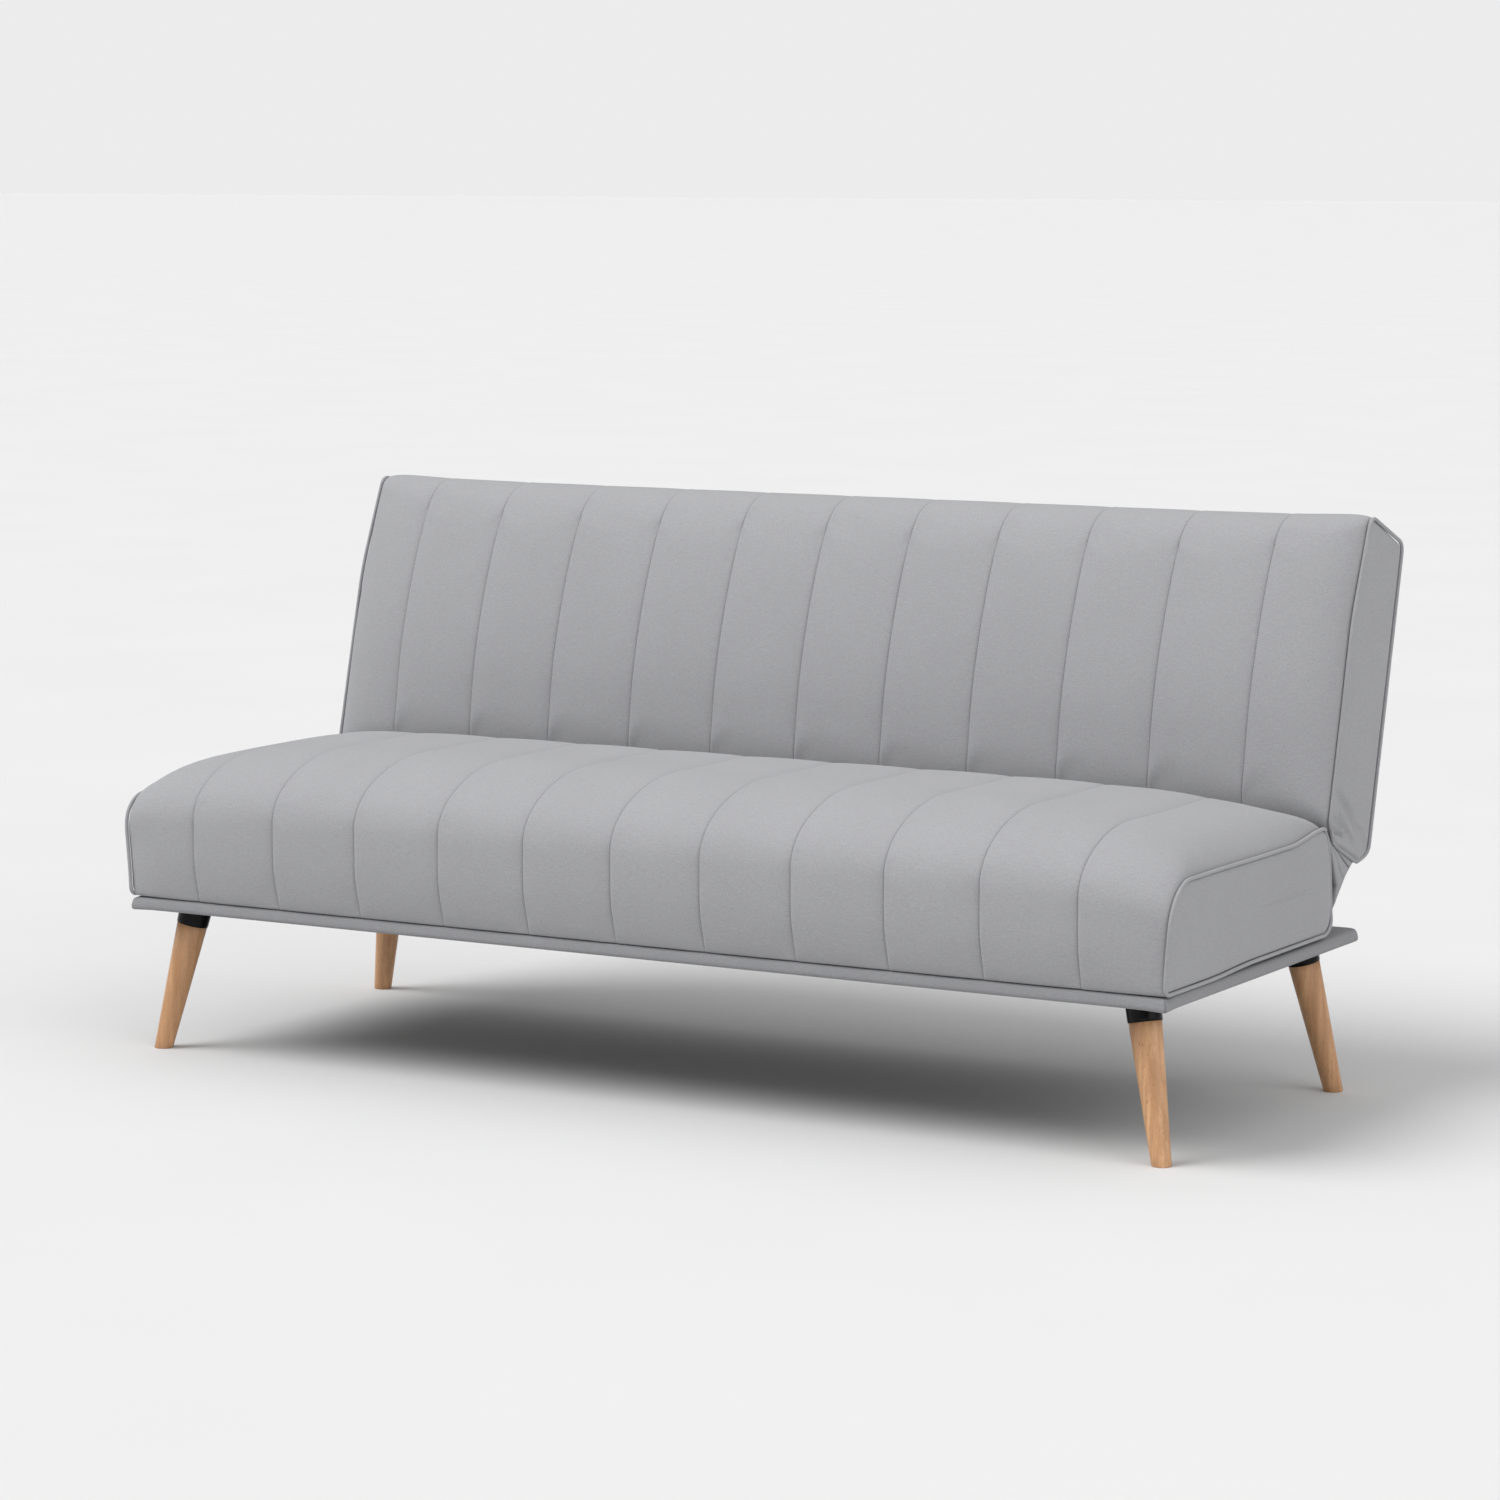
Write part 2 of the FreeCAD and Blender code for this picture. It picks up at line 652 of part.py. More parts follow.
def make_legs():
    # each leg tapers from a level foot to its collar, which widens to the level board
    slope = f"(leg_radius - foot_radius) / ({leg_bare})"
    flare = "collar_flare / collar_height"
    flare_start = f"collar_radius - collar_flare / collar_height * ({leg_bare})"
    collar_split = f"{leg_length} - level_reach"
    for spot, frame in leg_spots:
        sole = turned(f"leg_sole_{spot}", frame, "foot_radius", slope, "-level_reach", "level_reach")
        shaft = turned(f"leg_shaft_{spot}", frame, "foot_radius", slope, "level_reach", leg_bare)
        level = clip(f"leg_level_{spot}", sole, "0", "underside_height")
        bore_frame = frame * at("0", "0", f"{leg_bare} - hanger_grip")
        bore = cylinder(f"leg_bore_{spot}", "hanger_radius + fit_gap", "hanger_grip", bore_frame)
        keep(cut(f"leg_{spot}", fused(f"leg_whole_{spot}", [level, shaft]), [bore]), f"leg_{spot}")

        ring = turned(f"collar_ring_{spot}", frame, f"({flare_start})", flare, leg_bare, collar_split)
        seat = turned(f"collar_seat_{spot}", frame, f"({flare_start})", flare, collar_split,
                      f"{leg_length} + level_reach")
        level = clip(f"collar_level_{spot}", seat, "0", board_low)
        hole = cylinder(f"collar_hole_{spot}", "hanger_radius + fit_gap", "collar_height * 2",
                        frame * at("0", "0", leg_bare))
        keep(cut(f"collar_{spot}", fused(f"collar_whole_{spot}", [ring, level]), [hole]), f"collar_{spot}")

    bolts = []
    for spot, frame in leg_spots:
        start = frame * at("0", "0", f"{leg_bare} - hanger_grip")
        length = "hanger_grip + collar_height + hanger_rise"
        bolts.append(cylinder(f"hanger_{spot}", "hanger_radius", length, start))
    keep(group("leg_bolts", bolts), "leg_bolts")


# seat

frame_outer = "bed_width / 2 - frame_end_inset"
frame_inner = f"{frame_outer} - rail_thickness"
strap_pitch = f"(2 * ({frame_inner}) - 2 * strap_end_inset) / (strap_count - 1)"
seat_rail_low = f"{seat_low} + cover_thickness"
seat_rail_top = f"{seat_rail_low} + seat_rail_height"
arm_screw_places = [f"screw_pitch * {i}" for i in range(int(value("screw_count")))]
seat_screw_depth = "arm_reach - arm_width / 2"
seat_screw_rise = "arm_low_edge - arm_width / 2"


def hinge_pocket(name, low_rise, frame, front, rear, top):
    # room for the hinge in the padding and its cover, at both ends
    tools = []
    width = "2 * plate_thickness + side_gap + screw_head_height + pin_head_height + 2 * pocket_wall"
    inner = f"{frame_outer} - pin_head_height - pocket_wall"
    for side_name, side in SIDES:
        x = inner if side > 0 else f"-({inner}) - ({width})"
        depth = f"({rear}) - ({front})"
        height = f"({top}) - ({low_rise})"
        tool = box(f"{name}_{side_name}", width, depth, height, x, front, low_rise, frame)
        tools.append(tool)
    return tools


def seat_pockets(name):
    return hinge_pocket(
        name, seat_rail_low, seat_frame, f"{pivot_depth} - arm_reach - pocket_wall",
        f"{pivot_depth} + disc_radius + pocket_wall", "pivot_height + disc_radius + pocket_wall",
    )


def back_pockets(name):
    return hinge_pocket(
        name, "-arm_neck", back_frame, "-disc_radius - pocket_wall",
        "back_frame_front + back_frame_depth", "back_arm_top + pocket_wall",
    )


def side_screw_holes(name, frame, places):
    # into the outer face of both side members, pointing inwards
    tools = []
    for side_name, side in SIDES:
        for number, (depth, rise) in enumerate(places):
            turn = FreeCAD.Rotation(FreeCAD.Vector(0, 0, 1), FreeCAD.Vector(-side, 0, 0))
            inward = FreeCAD.Placement(FreeCAD.Vector(), turn)
            spot = frame * at(f"{side} * ({frame_outer})", depth, rise) * inward
            hole = f"{name}_{side_name}_{number}"
            tools.append(cylinder(hole, "screw_radius + fit_gap", "screw_grip", spot))
    return tools


seat_screws = [(f"{step} - ({seat_screw_depth})", f"-({seat_screw_rise})") for step in arm_screw_places]
back_screw_depth = "back_frame_front + back_frame_depth / 2"
back_screw_low = "back_arm_pad_low + back_screw_rise"
back_screws = [(back_screw_depth, f"{back_screw_low} + {step}") for step in arm_screw_places]


def make_seat_frame():
    inner_length = f"2 * ({frame_inner})"
    depth = f"({seat_frame_rear} - seat_frame_front)"
    grips = bolt_holes("rail_hole", seat_rail_low, "bolt_grip")
    front = box("front_rail_blank", inner_length, "rail_thickness", "seat_rail_height",
                f"-({frame_inner})", "seat_frame_front", seat_rail_low)
    keep(cut("seat_front_rail", front, grips[0::2]), "seat_front_rail")
    rear = box("rear_rail_blank", inner_length, "rail_thickness", "seat_rail_height",
               f"-({frame_inner})", f"{seat_frame_rear} - rail_thickness", seat_rail_low)
    keep(cut("seat_rear_rail", rear, grips[1::2]), "seat_rear_rail")

    holes = side_screw_holes("seat_rail_screw_hole", pivot_frame, seat_screws)
    for number, (side_name, side) in enumerate(SIDES):
        x = frame_inner if side > 0 else f"-({frame_outer})"
        rail = box(f"seat_side_blank_{side_name}", "rail_thickness", depth, "seat_rail_height",
                   x, "seat_frame_front", seat_rail_low)
        mine = holes[number * len(seat_screws):(number + 1) * len(seat_screws)]
        keep(cut(f"seat_{side_name}_rail", rail, mine), f"seat_{side_name}_rail")

    cross = []
    for number, x in enumerate(spread("cross_count", "bolt_pitch")):
        cross.append(box(f"cross_rail_{number}", "rail_thickness", f"{depth} - 2 * rail_thickness",
                         "seat_rail_height", f"{x} - rail_thickness / 2",
                         "seat_frame_front + rail_thickness", seat_rail_low))
    keep(group("seat_cross_rails", cross), "seat_cross_rails")

    straps = []
    for number, x in enumerate(spread("strap_count", strap_pitch)):
        straps.append(box(f"seat_strap_{number}", "strap_width", depth, "strap_thickness",
                          f"{x} - strap_width / 2", "seat_frame_front", seat_rail_top))
    keep(group("seat_webbing", straps), "seat_webbing")

    spacers = []
    for number, (x, y) in enumerate(bolt_places):
        low = seat_frame * at(x, y, platform_top)
        spacers.append(cylinder(f"spacer_{number}", "spacer_radius", "seat_lift", low))
    holes = bolt_holes("spacer_hole", platform_top, "seat_lift")
    keep(cut("seat_spacers", group("spacer_discs", spacers), holes), "seat_spacers")

    bolts = []
    for number, (x, y) in enumerate(bolt_places):
        low = seat_frame * at(x, y, board_low)
        length = f"{seat_rail_low} + bolt_grip - ({board_low})"
        shank = cylinder(f"bolt_shank_{number}", "bolt_radius", length, low)
        head = cylinder(f"bolt_head_{number}", "bolt_head_radius", "bolt_head_height", low)
        bolts.append(fused(f"bolt_{number}", [shank, head]))
    keep(group("seat_bolts", bolts), "seat_bolts")


def end_panels(name, corners, radii, frame):
    for side_name, side in SIDES:
        face = Part.Face(arc_outline(corners, radii, side * cover_half))
        panel = face.extrude(FreeCAD.Vector(side * value("panel_thickness"), 0, 0))
        keep(solid(f"{name}_{side_name}", panel, frame), f"{name}_{side_name}")


def pipings(name, corners, radii, frame):
    # a sewn cord round each end panel's edge, against the cover and the panel
    for side_name, side in SIDES:
        middle = side * (cover_half + value("piping_radius + fabric_gap / 2"))
        path = arc_outline(corners, radii, middle)
        start = path.Edges[0].firstVertex(True).Point
        along = path.Edges[0].tangentAt(path.Edges[0].FirstParameter)
        section = doc.addObject("Part::RegularPolygon", f"{name}_section_{side_name}")
        section.Polygon = 8
        section.setExpression("Circumradius", linked("piping_radius"))
        section.Placement = FreeCAD.Placement(start, FreeCAD.Rotation(FreeCAD.Vector(0, 0, 1), along))
        doc.recompute()
        cord = path.makePipe(Part.Face(Part.Wire(section.Shape.Edges)))
        keep(solid(f"{name}_{side_name}", cord, frame), f"{name}_{side_name}")


def make_seat_padding():
    cover = value("cover_thickness")
    outer = solid("seat_cover_outer", cushion(seat_outline))
    inner = solid("seat_cover_inner", core(seat_outline, cover, cover))
    holes = bolt_holes("seat_cover_hole", "underside_height", "seat_rail_height")
    keep(cut("seat_cover", outer, [inner] + holes + seat_pockets("seat_cover_pocket")), "seat_cover")

    block = solid("seat_foam_block", core(seat_outline, cover + value("fabric_gap")))
    room = box(
        "seat_frame_room", f"2 * ({frame_outer}) + 2 * fabric_gap",
        f"{seat_frame_rear} - seat_frame_front + 2 * fabric_gap",
        "seat_rail_height + strap_thickness + fabric_gap + cover_thickness",
        f"-({frame_outer}) - fabric_gap", "seat_frame_front - fabric_gap",
        f"{seat_rail_low} - cover_thickness",
    )
    keep(cut("seat_foam", block, [room] + seat_pockets("seat_foam_pocket")), "seat_foam")
    end_panels("seat_end_panel", seat_corners(), seat_radii(), seat_frame)
    out = value("piping_radius + fabric_gap / 2")
    pipings("seat_piping", seat_corners(out), seat_radii(out), seat_frame)


# back


def make_back_frame():
    inner_length = f"2 * ({frame_inner})"
    for name, low in (("bottom", "back_frame_low"), ("top", "back_frame_high - back_rail_height")):
        rail = box(f"back_{name}_rail", inner_length, "back_frame_depth", "back_rail_height",
                   f"-({frame_inner})", "back_frame_front", low, back_frame)
        keep(rail, f"back_{name}_rail")
    holes = side_screw_holes("stile_screw_hole", back_frame, back_screws)
    for number, (side_name, side) in enumerate(SIDES):
        x = frame_inner if side > 0 else f"-({frame_outer})"
        stile = box(f"stile_blank_{side_name}", "rail_thickness", "back_frame_depth",
                    "back_frame_high - back_frame_low", x, "back_frame_front", "back_frame_low", back_frame)
        mine = holes[number * len(back_screws):(number + 1) * len(back_screws)]
        keep(cut(f"back_{side_name}_stile", stile, mine), f"back_{side_name}_stile")
    height = "back_frame_high - back_frame_low"
    cross = []
    for number, x in enumerate(spread("cross_count", "bolt_pitch")):
        cross.append(box(f"cross_stile_{number}", "rail_thickness", "back_frame_depth",
                         f"{height} - 2 * back_rail_height", f"{x} - rail_thickness / 2",
                         "back_frame_front", "back_frame_low + back_rail_height", back_frame))
    keep(group("back_cross_stiles", cross), "back_cross_stiles")
    straps = []
    for number, x in enumerate(spread("strap_count", strap_pitch)):
        straps.append(box(f"back_strap_{number}", "strap_width", "strap_thickness", height,
                          f"{x} - strap_width / 2", "back_frame_front - strap_thickness",
                          "back_frame_low", back_frame))
    keep(group("back_webbing", straps), "back_webbing")


def make_back_padding():
    cover = value("cover_thickness")
    outer = solid("back_cover_outer", cushion(back_outline), back_frame)
    inner = solid("back_cover_inner", core(back_outline, cover, cover), back_frame)
    keep(cut("back_cover", outer, [inner] + back_pockets("back_cover_pocket")), "back_cover")
    block = solid("back_foam_block", core(back_outline, cover + value("fabric_gap")), back_frame)
    room = box(
        "back_frame_room", f"2 * ({frame_outer}) + 2 * fabric_gap",
        "back_frame_depth + strap_thickness + 2 * fabric_gap",
        "back_frame_high - back_frame_low + 2 * fabric_gap", f"-({frame_outer}) - fabric_gap",
        "back_frame_front - strap_thickness - fabric_gap", "back_frame_low - fabric_gap", back_frame,
    )
    keep(cut("back_foam", block, [room] + back_pockets("back_foam_pocket")), "back_foam")
    end_panels("back_end_panel", back_corners(), back_radii(), back_frame)
    out = value("piping_radius + fabric_gap / 2")
    pipings("back_piping", back_corners(out), back_radii(out), back_frame)


# hinges


def polar(radius, angle):
    # a point at this radius, with the angle turned from straight up towards the rear
    return (f"({radius}) * sin(({angle}) * 1 deg)", f"({radius}) * cos(({angle}) * 1 deg)")


def side_x(side, inner, thickness):
    # where a plate starts whose inner face is this far from the middle
    return inner if side > 0 else f"-({inner}) - ({thickness})"


root_radius = "disc_radius - notch_depth"


def notch(sketch, first, last):
    # the pawl's middle stands between these angles; the ramp is at the front, the flank at the rear
    low = f"back_lean + ({first}) - ramp_angle"
    high = f"back_lean + ({last}) + flank_angle"
    clear = "disc_radius + notch_depth"
    polygon(sketch, [
        polar(root_radius, low), polar(clear, f"{low} - ramp_run"),
        polar(clear, high), polar(root_radius, high),
    ])


def make_seat_arm(side_name, side):
    start = side_x(side, frame_outer, "plate_thickness")
    arm = new_body(f"hinge_seat_arm_{side_name}", pivot_frame * at(start))
    plate = sketch_on(arm, "YZ_Plane", f"seat_arm_plate_{side_name}")
    top_edge = "arm_low_edge - arm_width"
    polygon(plate, [
        ("-arm_reach", "-arm_low_edge"), ("-arm_reach / 3", "-arm_low_edge"), ("arm_neck", "-arm_neck / 2"),
        ("-arm_neck / 2", "arm_neck"), ("-arm_reach / 2", f"-({top_edge})"), ("-arm_reach", f"-({top_edge})"),
    ])
    pad(arm, plate, "plate_thickness")
    disc = sketch_on(arm, "YZ_Plane", f"seat_arm_disc_{side_name}")
    circle(disc, "0", "0", "disc_radius")
    pad(arm, disc, "plate_thickness")
    doc.recompute()
    notches = sketch_on(arm, "YZ_Plane", f"seat_arm_notches_{side_name}")
    notch(notches, "-release_swing", "0")
    notch(notches, "lounge_swing", "lounge_swing")
    notch(notches, "90 - back_lean", "90 - back_lean")
    pocket(arm, notches, "plate_thickness")
    holes = sketch_on(arm, "YZ_Plane", f"seat_arm_holes_{side_name}")
    circle(holes, "0", "0", "pin_radius + fit_gap")
    for depth, rise in seat_screws:
        circle(holes, depth, rise, "screw_radius + fit_gap")
    pocket(arm, holes, "plate_thickness")
    keep(arm, f"hinge_seat_arm_{side_name}")


def make_back_arm(side_name, side):
    # its plate turns outside the seat arm's; a thicker pad brings it to the stile
    inner = f"{frame_outer} + plate_thickness + side_gap"
    arm = new_body(f"hinge_back_arm_{side_name}", back_frame * at(side_x(side, inner, "plate_thickness")))
    plate = sketch_on(arm, "YZ_Plane", f"back_arm_plate_{side_name}")
    rear = "back_frame_front + back_frame_depth"
    pad_corners = [
        ("back_frame_front", "back_arm_pad_low"), (rear, "back_arm_pad_low"),
        (rear, "back_arm_top"), ("back_frame_front", "back_arm_top"),
    ]
    polygon(plate, [
        ("-pawl_pin_depth - pawl_hub_radius", "pawl_pin_rise - pawl_hub_radius"),
        ("-arm_neck", "-arm_neck / 2"), ("arm_neck", "-arm_neck / 2"), (rear, "back_arm_pad_low - arm_width"),
        (rear, "back_arm_top"), ("back_frame_front", "back_arm_top"),
        ("back_frame_front", "back_arm_pad_low"),
        ("-pawl_pin_depth - pawl_hub_radius", "pawl_pin_rise + pawl_hub_radius"),
    ])
    pad(arm, plate, "plate_thickness")
    disc = sketch_on(arm, "YZ_Plane", f"back_arm_disc_{side_name}")
    circle(disc, "0", "0", "back_disc_radius")
    pad(arm, disc, "plate_thickness")
    step = sketch_on(arm, "YZ_Plane", f"back_arm_step_{side_name}", "0" if side > 0 else "plate_thickness")
    polygon(step, pad_corners)
    step_pad = pad(arm, step, "plate_thickness + side_gap")
    step_pad.Reversed = side > 0
    doc.recompute()
    low = "-plate_thickness - side_gap" if side > 0 else "0"
    holes = sketch_on(arm, "YZ_Plane", f"back_arm_holes_{side_name}", low)
    circle(holes, "0", "0", "pin_radius + fit_gap")
    circle(holes, "-pawl_pin_depth", "pawl_pin_rise", "pawl_pin_radius + fit_gap")
    for depth, rise in back_screws:
        circle(holes, depth, rise, "screw_radius + fit_gap")
    pocket(arm, holes, "2 * plate_thickness + side_gap")
    keep(arm, f"hinge_back_arm_{side_name}")


def make_pawl(side_name, side):
    # drawn lifted clear of the notches, on its pin in the back arm
    thickness = "plate_thickness - side_gap"
    start = side_x(side, f"{frame_outer} + side_gap", thickness)
    pawl = new_body(f"hinge_pawl_{side_name}", back_frame * at(start))
    finger = sketch_on(pawl, "YZ_Plane", f"pawl_finger_{side_name}")
    nose = "pawl_reach - pawl_pin_depth"
    polygon(finger, [
        ("-pawl_pin_depth", "pawl_pin_rise - pawl_hub_radius"), (f"{nose} - pawl_nose", "pawl_nose_rise"),
        (nose, "pawl_nose_rise"), (nose, "pawl_nose_rise + pawl_nose"),
        (f"{nose} - pawl_nose", "pawl_pin_rise - pawl_waist"),
        ("-pawl_pin_depth", "pawl_pin_rise + pawl_hub_radius"),
    ])
    pad(pawl, finger, thickness)
    hub = sketch_on(pawl, "YZ_Plane", f"pawl_hub_{side_name}")
    circle(hub, "-pawl_pin_depth", "pawl_pin_rise", "pawl_hub_radius")
    pad(pawl, hub, thickness)
    doc.recompute()
    bore = sketch_on(pawl, "YZ_Plane", f"pawl_bore_{side_name}")
    circle(bore, "-pawl_pin_depth", "pawl_pin_rise", "pawl_pin_radius + fit_gap")
    pocket(pawl, bore, thickness)
    keep(pawl, f"hinge_pawl_{side_name}")


def across(frame, x, depth, rise, side):
    # looking outwards along X from this point
    turn = FreeCAD.Rotation(FreeCAD.Vector(0, 0, 1), FreeCAD.Vector(side, 0, 0))
    return frame * at(f"{side} * ({x})", depth, rise) * FreeCAD.Placement(FreeCAD.Vector(), turn)


def make_pins(side_name, side):
    stack = "2 * plate_thickness + side_gap"
    head_low = across(pivot_frame, f"{frame_outer} - pin_head_height", "0", "0", side)
    head_high = across(pivot_frame, f"{frame_outer} + {stack}", "0", "0", side)
    pieces = [
        cylinder(f"pin_head_low_{side_name}", "pin_head_radius", "pin_head_height", head_low),
        cylinder(f"pin_shank_{side_name}", "pin_radius", f"{stack} + 2 * pin_head_height", head_low),
        cylinder(f"pin_head_high_{side_name}", "pin_head_radius", "pin_head_height", head_high),
    ]
    keep(fused(f"hinge_pin_{side_name}", pieces), f"hinge_pin_{side_name}")
    # the pawl's pin is riveted in the back arm and headed on the pawl's free side
    inner = f"{frame_outer} - side_gap - pawl_head_height"
    low = across(back_frame, inner, "-pawl_pin_depth", "pawl_pin_rise", side)
    head = "pawl_pin_radius + pawl_head_lip"
    pieces = [
        cylinder(f"pawl_pin_head_{side_name}", head, "pawl_head_height", low),
        cylinder(f"pawl_pin_shank_{side_name}", "pawl_pin_radius",
                 f"{stack} + side_gap + pawl_head_height", low),
    ]
    keep(fused(f"pawl_pin_{side_name}", pieces), f"pawl_pin_{side_name}")


def make_screws(name, frame, places, stack):
    screws = []
    for side_name, side in SIDES:
        for number, (depth, rise) in enumerate(places):
            low = across(frame, f"{frame_outer} - screw_grip", depth, rise, side)
            high = across(frame, f"{frame_outer} + {stack}", depth, rise, side)
            shank = cylinder(f"{name}_shank_{side_name}_{number}", "screw_radius",
                             f"screw_grip + {stack} + screw_head_height", low)
            head_name = f"{name}_head_{side_name}_{number}"
            head = cylinder(head_name, "screw_head_radius", "screw_head_height", high)
            screws.append(fused(f"{name}_{side_name}_{number}", [shank, head]))
    keep(group(name, screws), name)


def make_hinges():
    for side_name, side in SIDES:
        make_seat_arm(side_name, side)
        make_back_arm(side_name, side)
        make_pawl(side_name, side)
        make_pins(side_name, side)
    make_screws("seat_arm_screws", pivot_frame, seat_screws, "plate_thickness")
    make_screws("back_arm_screws", back_frame, back_screws, "2 * plate_thickness + side_gap")


# fabric between seat and back


def seat_rear_line(x, share, gap):
    # a point off the seat's rear face, this share of the way up
    corners = seat_form(x)[0]
    (low_y, low_z), (high_y, high_z) = corners[3], corners[2]
    return FreeCAD.Vector(0, mix(low_y, high_y, share) + gap, mix(low_z, high_z, share))


def back_low_line(x, share, gap):
    # a point off the back's bottom face, this share of the way to the rear, in the seat's frame
    corners = back_form(x)[0]
    (near_y, near_z), (far_y, far_z) = corners[0], corners[4]
    spot = FreeCAD.Vector(0, mix(near_y, far_y, share), mix(near_z, far_z, share) - gap)
    return FreeCAD.Placement(pivot, back_turn) * spot


# where the fabric is sewn on, as shares of the way up the seat's rear and back along the back's bottom
strip_on_seat = 0.14
strip_on_back = 0.76
web_on_seat = (0.24, 0.72)
web_on_back = (0.2, 0.66)


def make_webs():
    # a gathered strip closes the wedge behind the seat, and a web closes each end of it
    gap = value("web_gap")
    thickness = value("web_thickness")
    half = cover_half - value("web_end_inset")
    low = seat_rear_line(0, strip_on_seat, gap)
    high = back_low_line(0, strip_on_back, gap)
    middle = mix(low, high, 0.5) + FreeCAD.Vector(0, -value("web_rise"), value("web_rise"))
    drop = FreeCAD.Vector(0, thickness, -thickness)
    edges = [
        Part.Arc(low, middle, high).toShape(),
        Part.makeLine(high, high + drop),
        Part.Arc(high + drop, middle + drop, low + drop).toShape(),
        Part.makeLine(low + drop, low),
    ]
    strip = Part.Face(Part.Wire(edges))
    strip.translate(FreeCAD.Vector(-half, 0, 0))
    keep(solid("crease_strip", strip.extrude(FreeCAD.Vector(2 * half, 0, 0))), "crease_strip")

    clear = FreeCAD.Vector(0, -gap, gap)
    ring = [seat_rear_line(half, share, gap) for share in web_on_seat]
    ring += [back_low_line(half, share, gap) for share in web_on_back] + [middle + clear]
    for side_name, side in SIDES:
        web = Part.Face(Part.makePolygon(ring + ring[:1]))
        web.translate(FreeCAD.Vector(side * half, 0, 0))
        web = web.extrude(FreeCAD.Vector(-side * thickness, 0, 0))
        keep(solid(f"end_web_{side_name}", web), f"end_web_{side_name}")


make_platform()
make_legs()
make_seat_frame()
make_seat_padding()
make_back_frame()
make_back_padding()
make_hinges()
make_webs()
doc.recompute()

for item in doc.Objects:
    if "Invalid" in item.State or "Error" in item.State:
        raise RuntimeError(f"{item.Label} is {item.State}")
for piece in sub_parts:
    if piece.Shape.isNull() or not piece.Shape.isValid() or not piece.Shape.Solids:
        raise RuntimeError(f"{piece.Label} has no sound shape")

os.makedirs("parts", exist_ok=True)
for piece in sub_parts:
    piece.Shape.exportStep(f"parts/{piece.Label}.step")
print(f"wrote {len(sub_parts)} sub-parts")
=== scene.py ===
import bpy
import json
import math
import numpy as np
from mathutils import Matrix, Vector, noise


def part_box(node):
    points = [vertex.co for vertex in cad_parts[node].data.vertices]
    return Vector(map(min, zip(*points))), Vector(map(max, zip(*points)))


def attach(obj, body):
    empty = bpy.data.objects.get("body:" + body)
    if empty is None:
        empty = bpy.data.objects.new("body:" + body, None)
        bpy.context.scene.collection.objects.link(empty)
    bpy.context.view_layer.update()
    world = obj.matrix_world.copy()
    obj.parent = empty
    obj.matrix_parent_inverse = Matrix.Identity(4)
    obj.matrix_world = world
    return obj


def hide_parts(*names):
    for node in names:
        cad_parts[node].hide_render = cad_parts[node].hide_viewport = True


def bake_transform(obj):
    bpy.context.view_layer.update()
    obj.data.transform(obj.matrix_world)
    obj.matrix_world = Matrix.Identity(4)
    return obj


# click-clack sofa bed: channelled seat and back, wrapped platform, beech legs
# metres; x along the sofa, y to the back, z up from the floor

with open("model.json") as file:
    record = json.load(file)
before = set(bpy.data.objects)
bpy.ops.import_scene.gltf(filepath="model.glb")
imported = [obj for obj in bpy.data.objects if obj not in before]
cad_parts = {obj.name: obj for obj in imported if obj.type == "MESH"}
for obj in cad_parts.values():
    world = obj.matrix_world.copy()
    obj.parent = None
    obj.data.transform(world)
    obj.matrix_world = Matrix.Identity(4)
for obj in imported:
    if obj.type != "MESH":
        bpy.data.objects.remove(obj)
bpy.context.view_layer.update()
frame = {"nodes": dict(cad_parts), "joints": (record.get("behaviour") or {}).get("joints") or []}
platformLow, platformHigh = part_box("platform_wrap")
frontEdge = platformLow.y  # the platform's front edge
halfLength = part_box("seat_cover")[1].x
hinge = next(joint for joint in frame["joints"] if joint["name"] == "back_recline")
pivot = Vector(hinge["pos_m"])
lean = math.radians(14.16)  # of the back, when it is up
sides = (("left", -1), ("right", 1))
print("frame loaded")


shot = {
    "place": (3.4898, -6.0273, 1.3719),
    "azimuth": 30.12,  # degrees round from straight in front
    "pitch": 7.31,  # looking down
    "lens": 111.75,
}


def addCamera(settings):
    camera = bpy.data.objects.new("Camera", bpy.data.cameras.new("Camera"))
    bpy.context.collection.objects.link(camera)
    azimuth, pitch = math.radians(settings["azimuth"]), math.radians(settings["pitch"])
    level = math.cos(pitch)
    look = Vector((-math.sin(azimuth) * level, math.cos(azimuth) * level, -math.sin(pitch)))
    camera.location = settings["place"]
    camera.rotation_euler = look.to_track_quat("-Z", "Y").to_euler()
    camera.data.lens = settings["lens"]
    camera.data.sensor_width = 36
    bpy.context.scene.camera = camera


addCamera(shot)


def feed(tree, socket, value):
    # a socket takes another node's output, a number, a vector or a colour
    if isinstance(value, bpy.types.NodeSocket):
        tree.links.new(value, socket)
    elif socket.type == "RGBA":
        socket.default_value = (*value, 1)
    else:
        socket.default_value = value


def addNode(tree, kind, inputs, output, **settings):
    node = tree.nodes.new(f"ShaderNode{kind}")
    for name, value in settings.items():
        setattr(node, name, value)
    for name, value in inputs.items():
        feed(tree, node.inputs[name], value)
    return node.outputs[output]


def maths(tree, operation, *values):
    node = tree.nodes.new("ShaderNodeMath")
    node.operation = operation
    for socket, value in zip(node.inputs, values):
        feed(tree, socket, value)
    return node.outputs["Value"]


def mixColour(tree, factor, low, high, **settings):
    inputs = {"Factor": factor, "A": low, "B": high}
    return addNode(tree, "Mix", inputs, "Result", data_type="RGBA", **settings)


def placed(tree, scale, source="Object"):
    # texture space, in metres times scale
    coordinate = addNode(tree, "TexCoord", {}, source)
    return addNode(tree, "Mapping", {"Scale": scale, "Vector": coordinate}, "Vector")


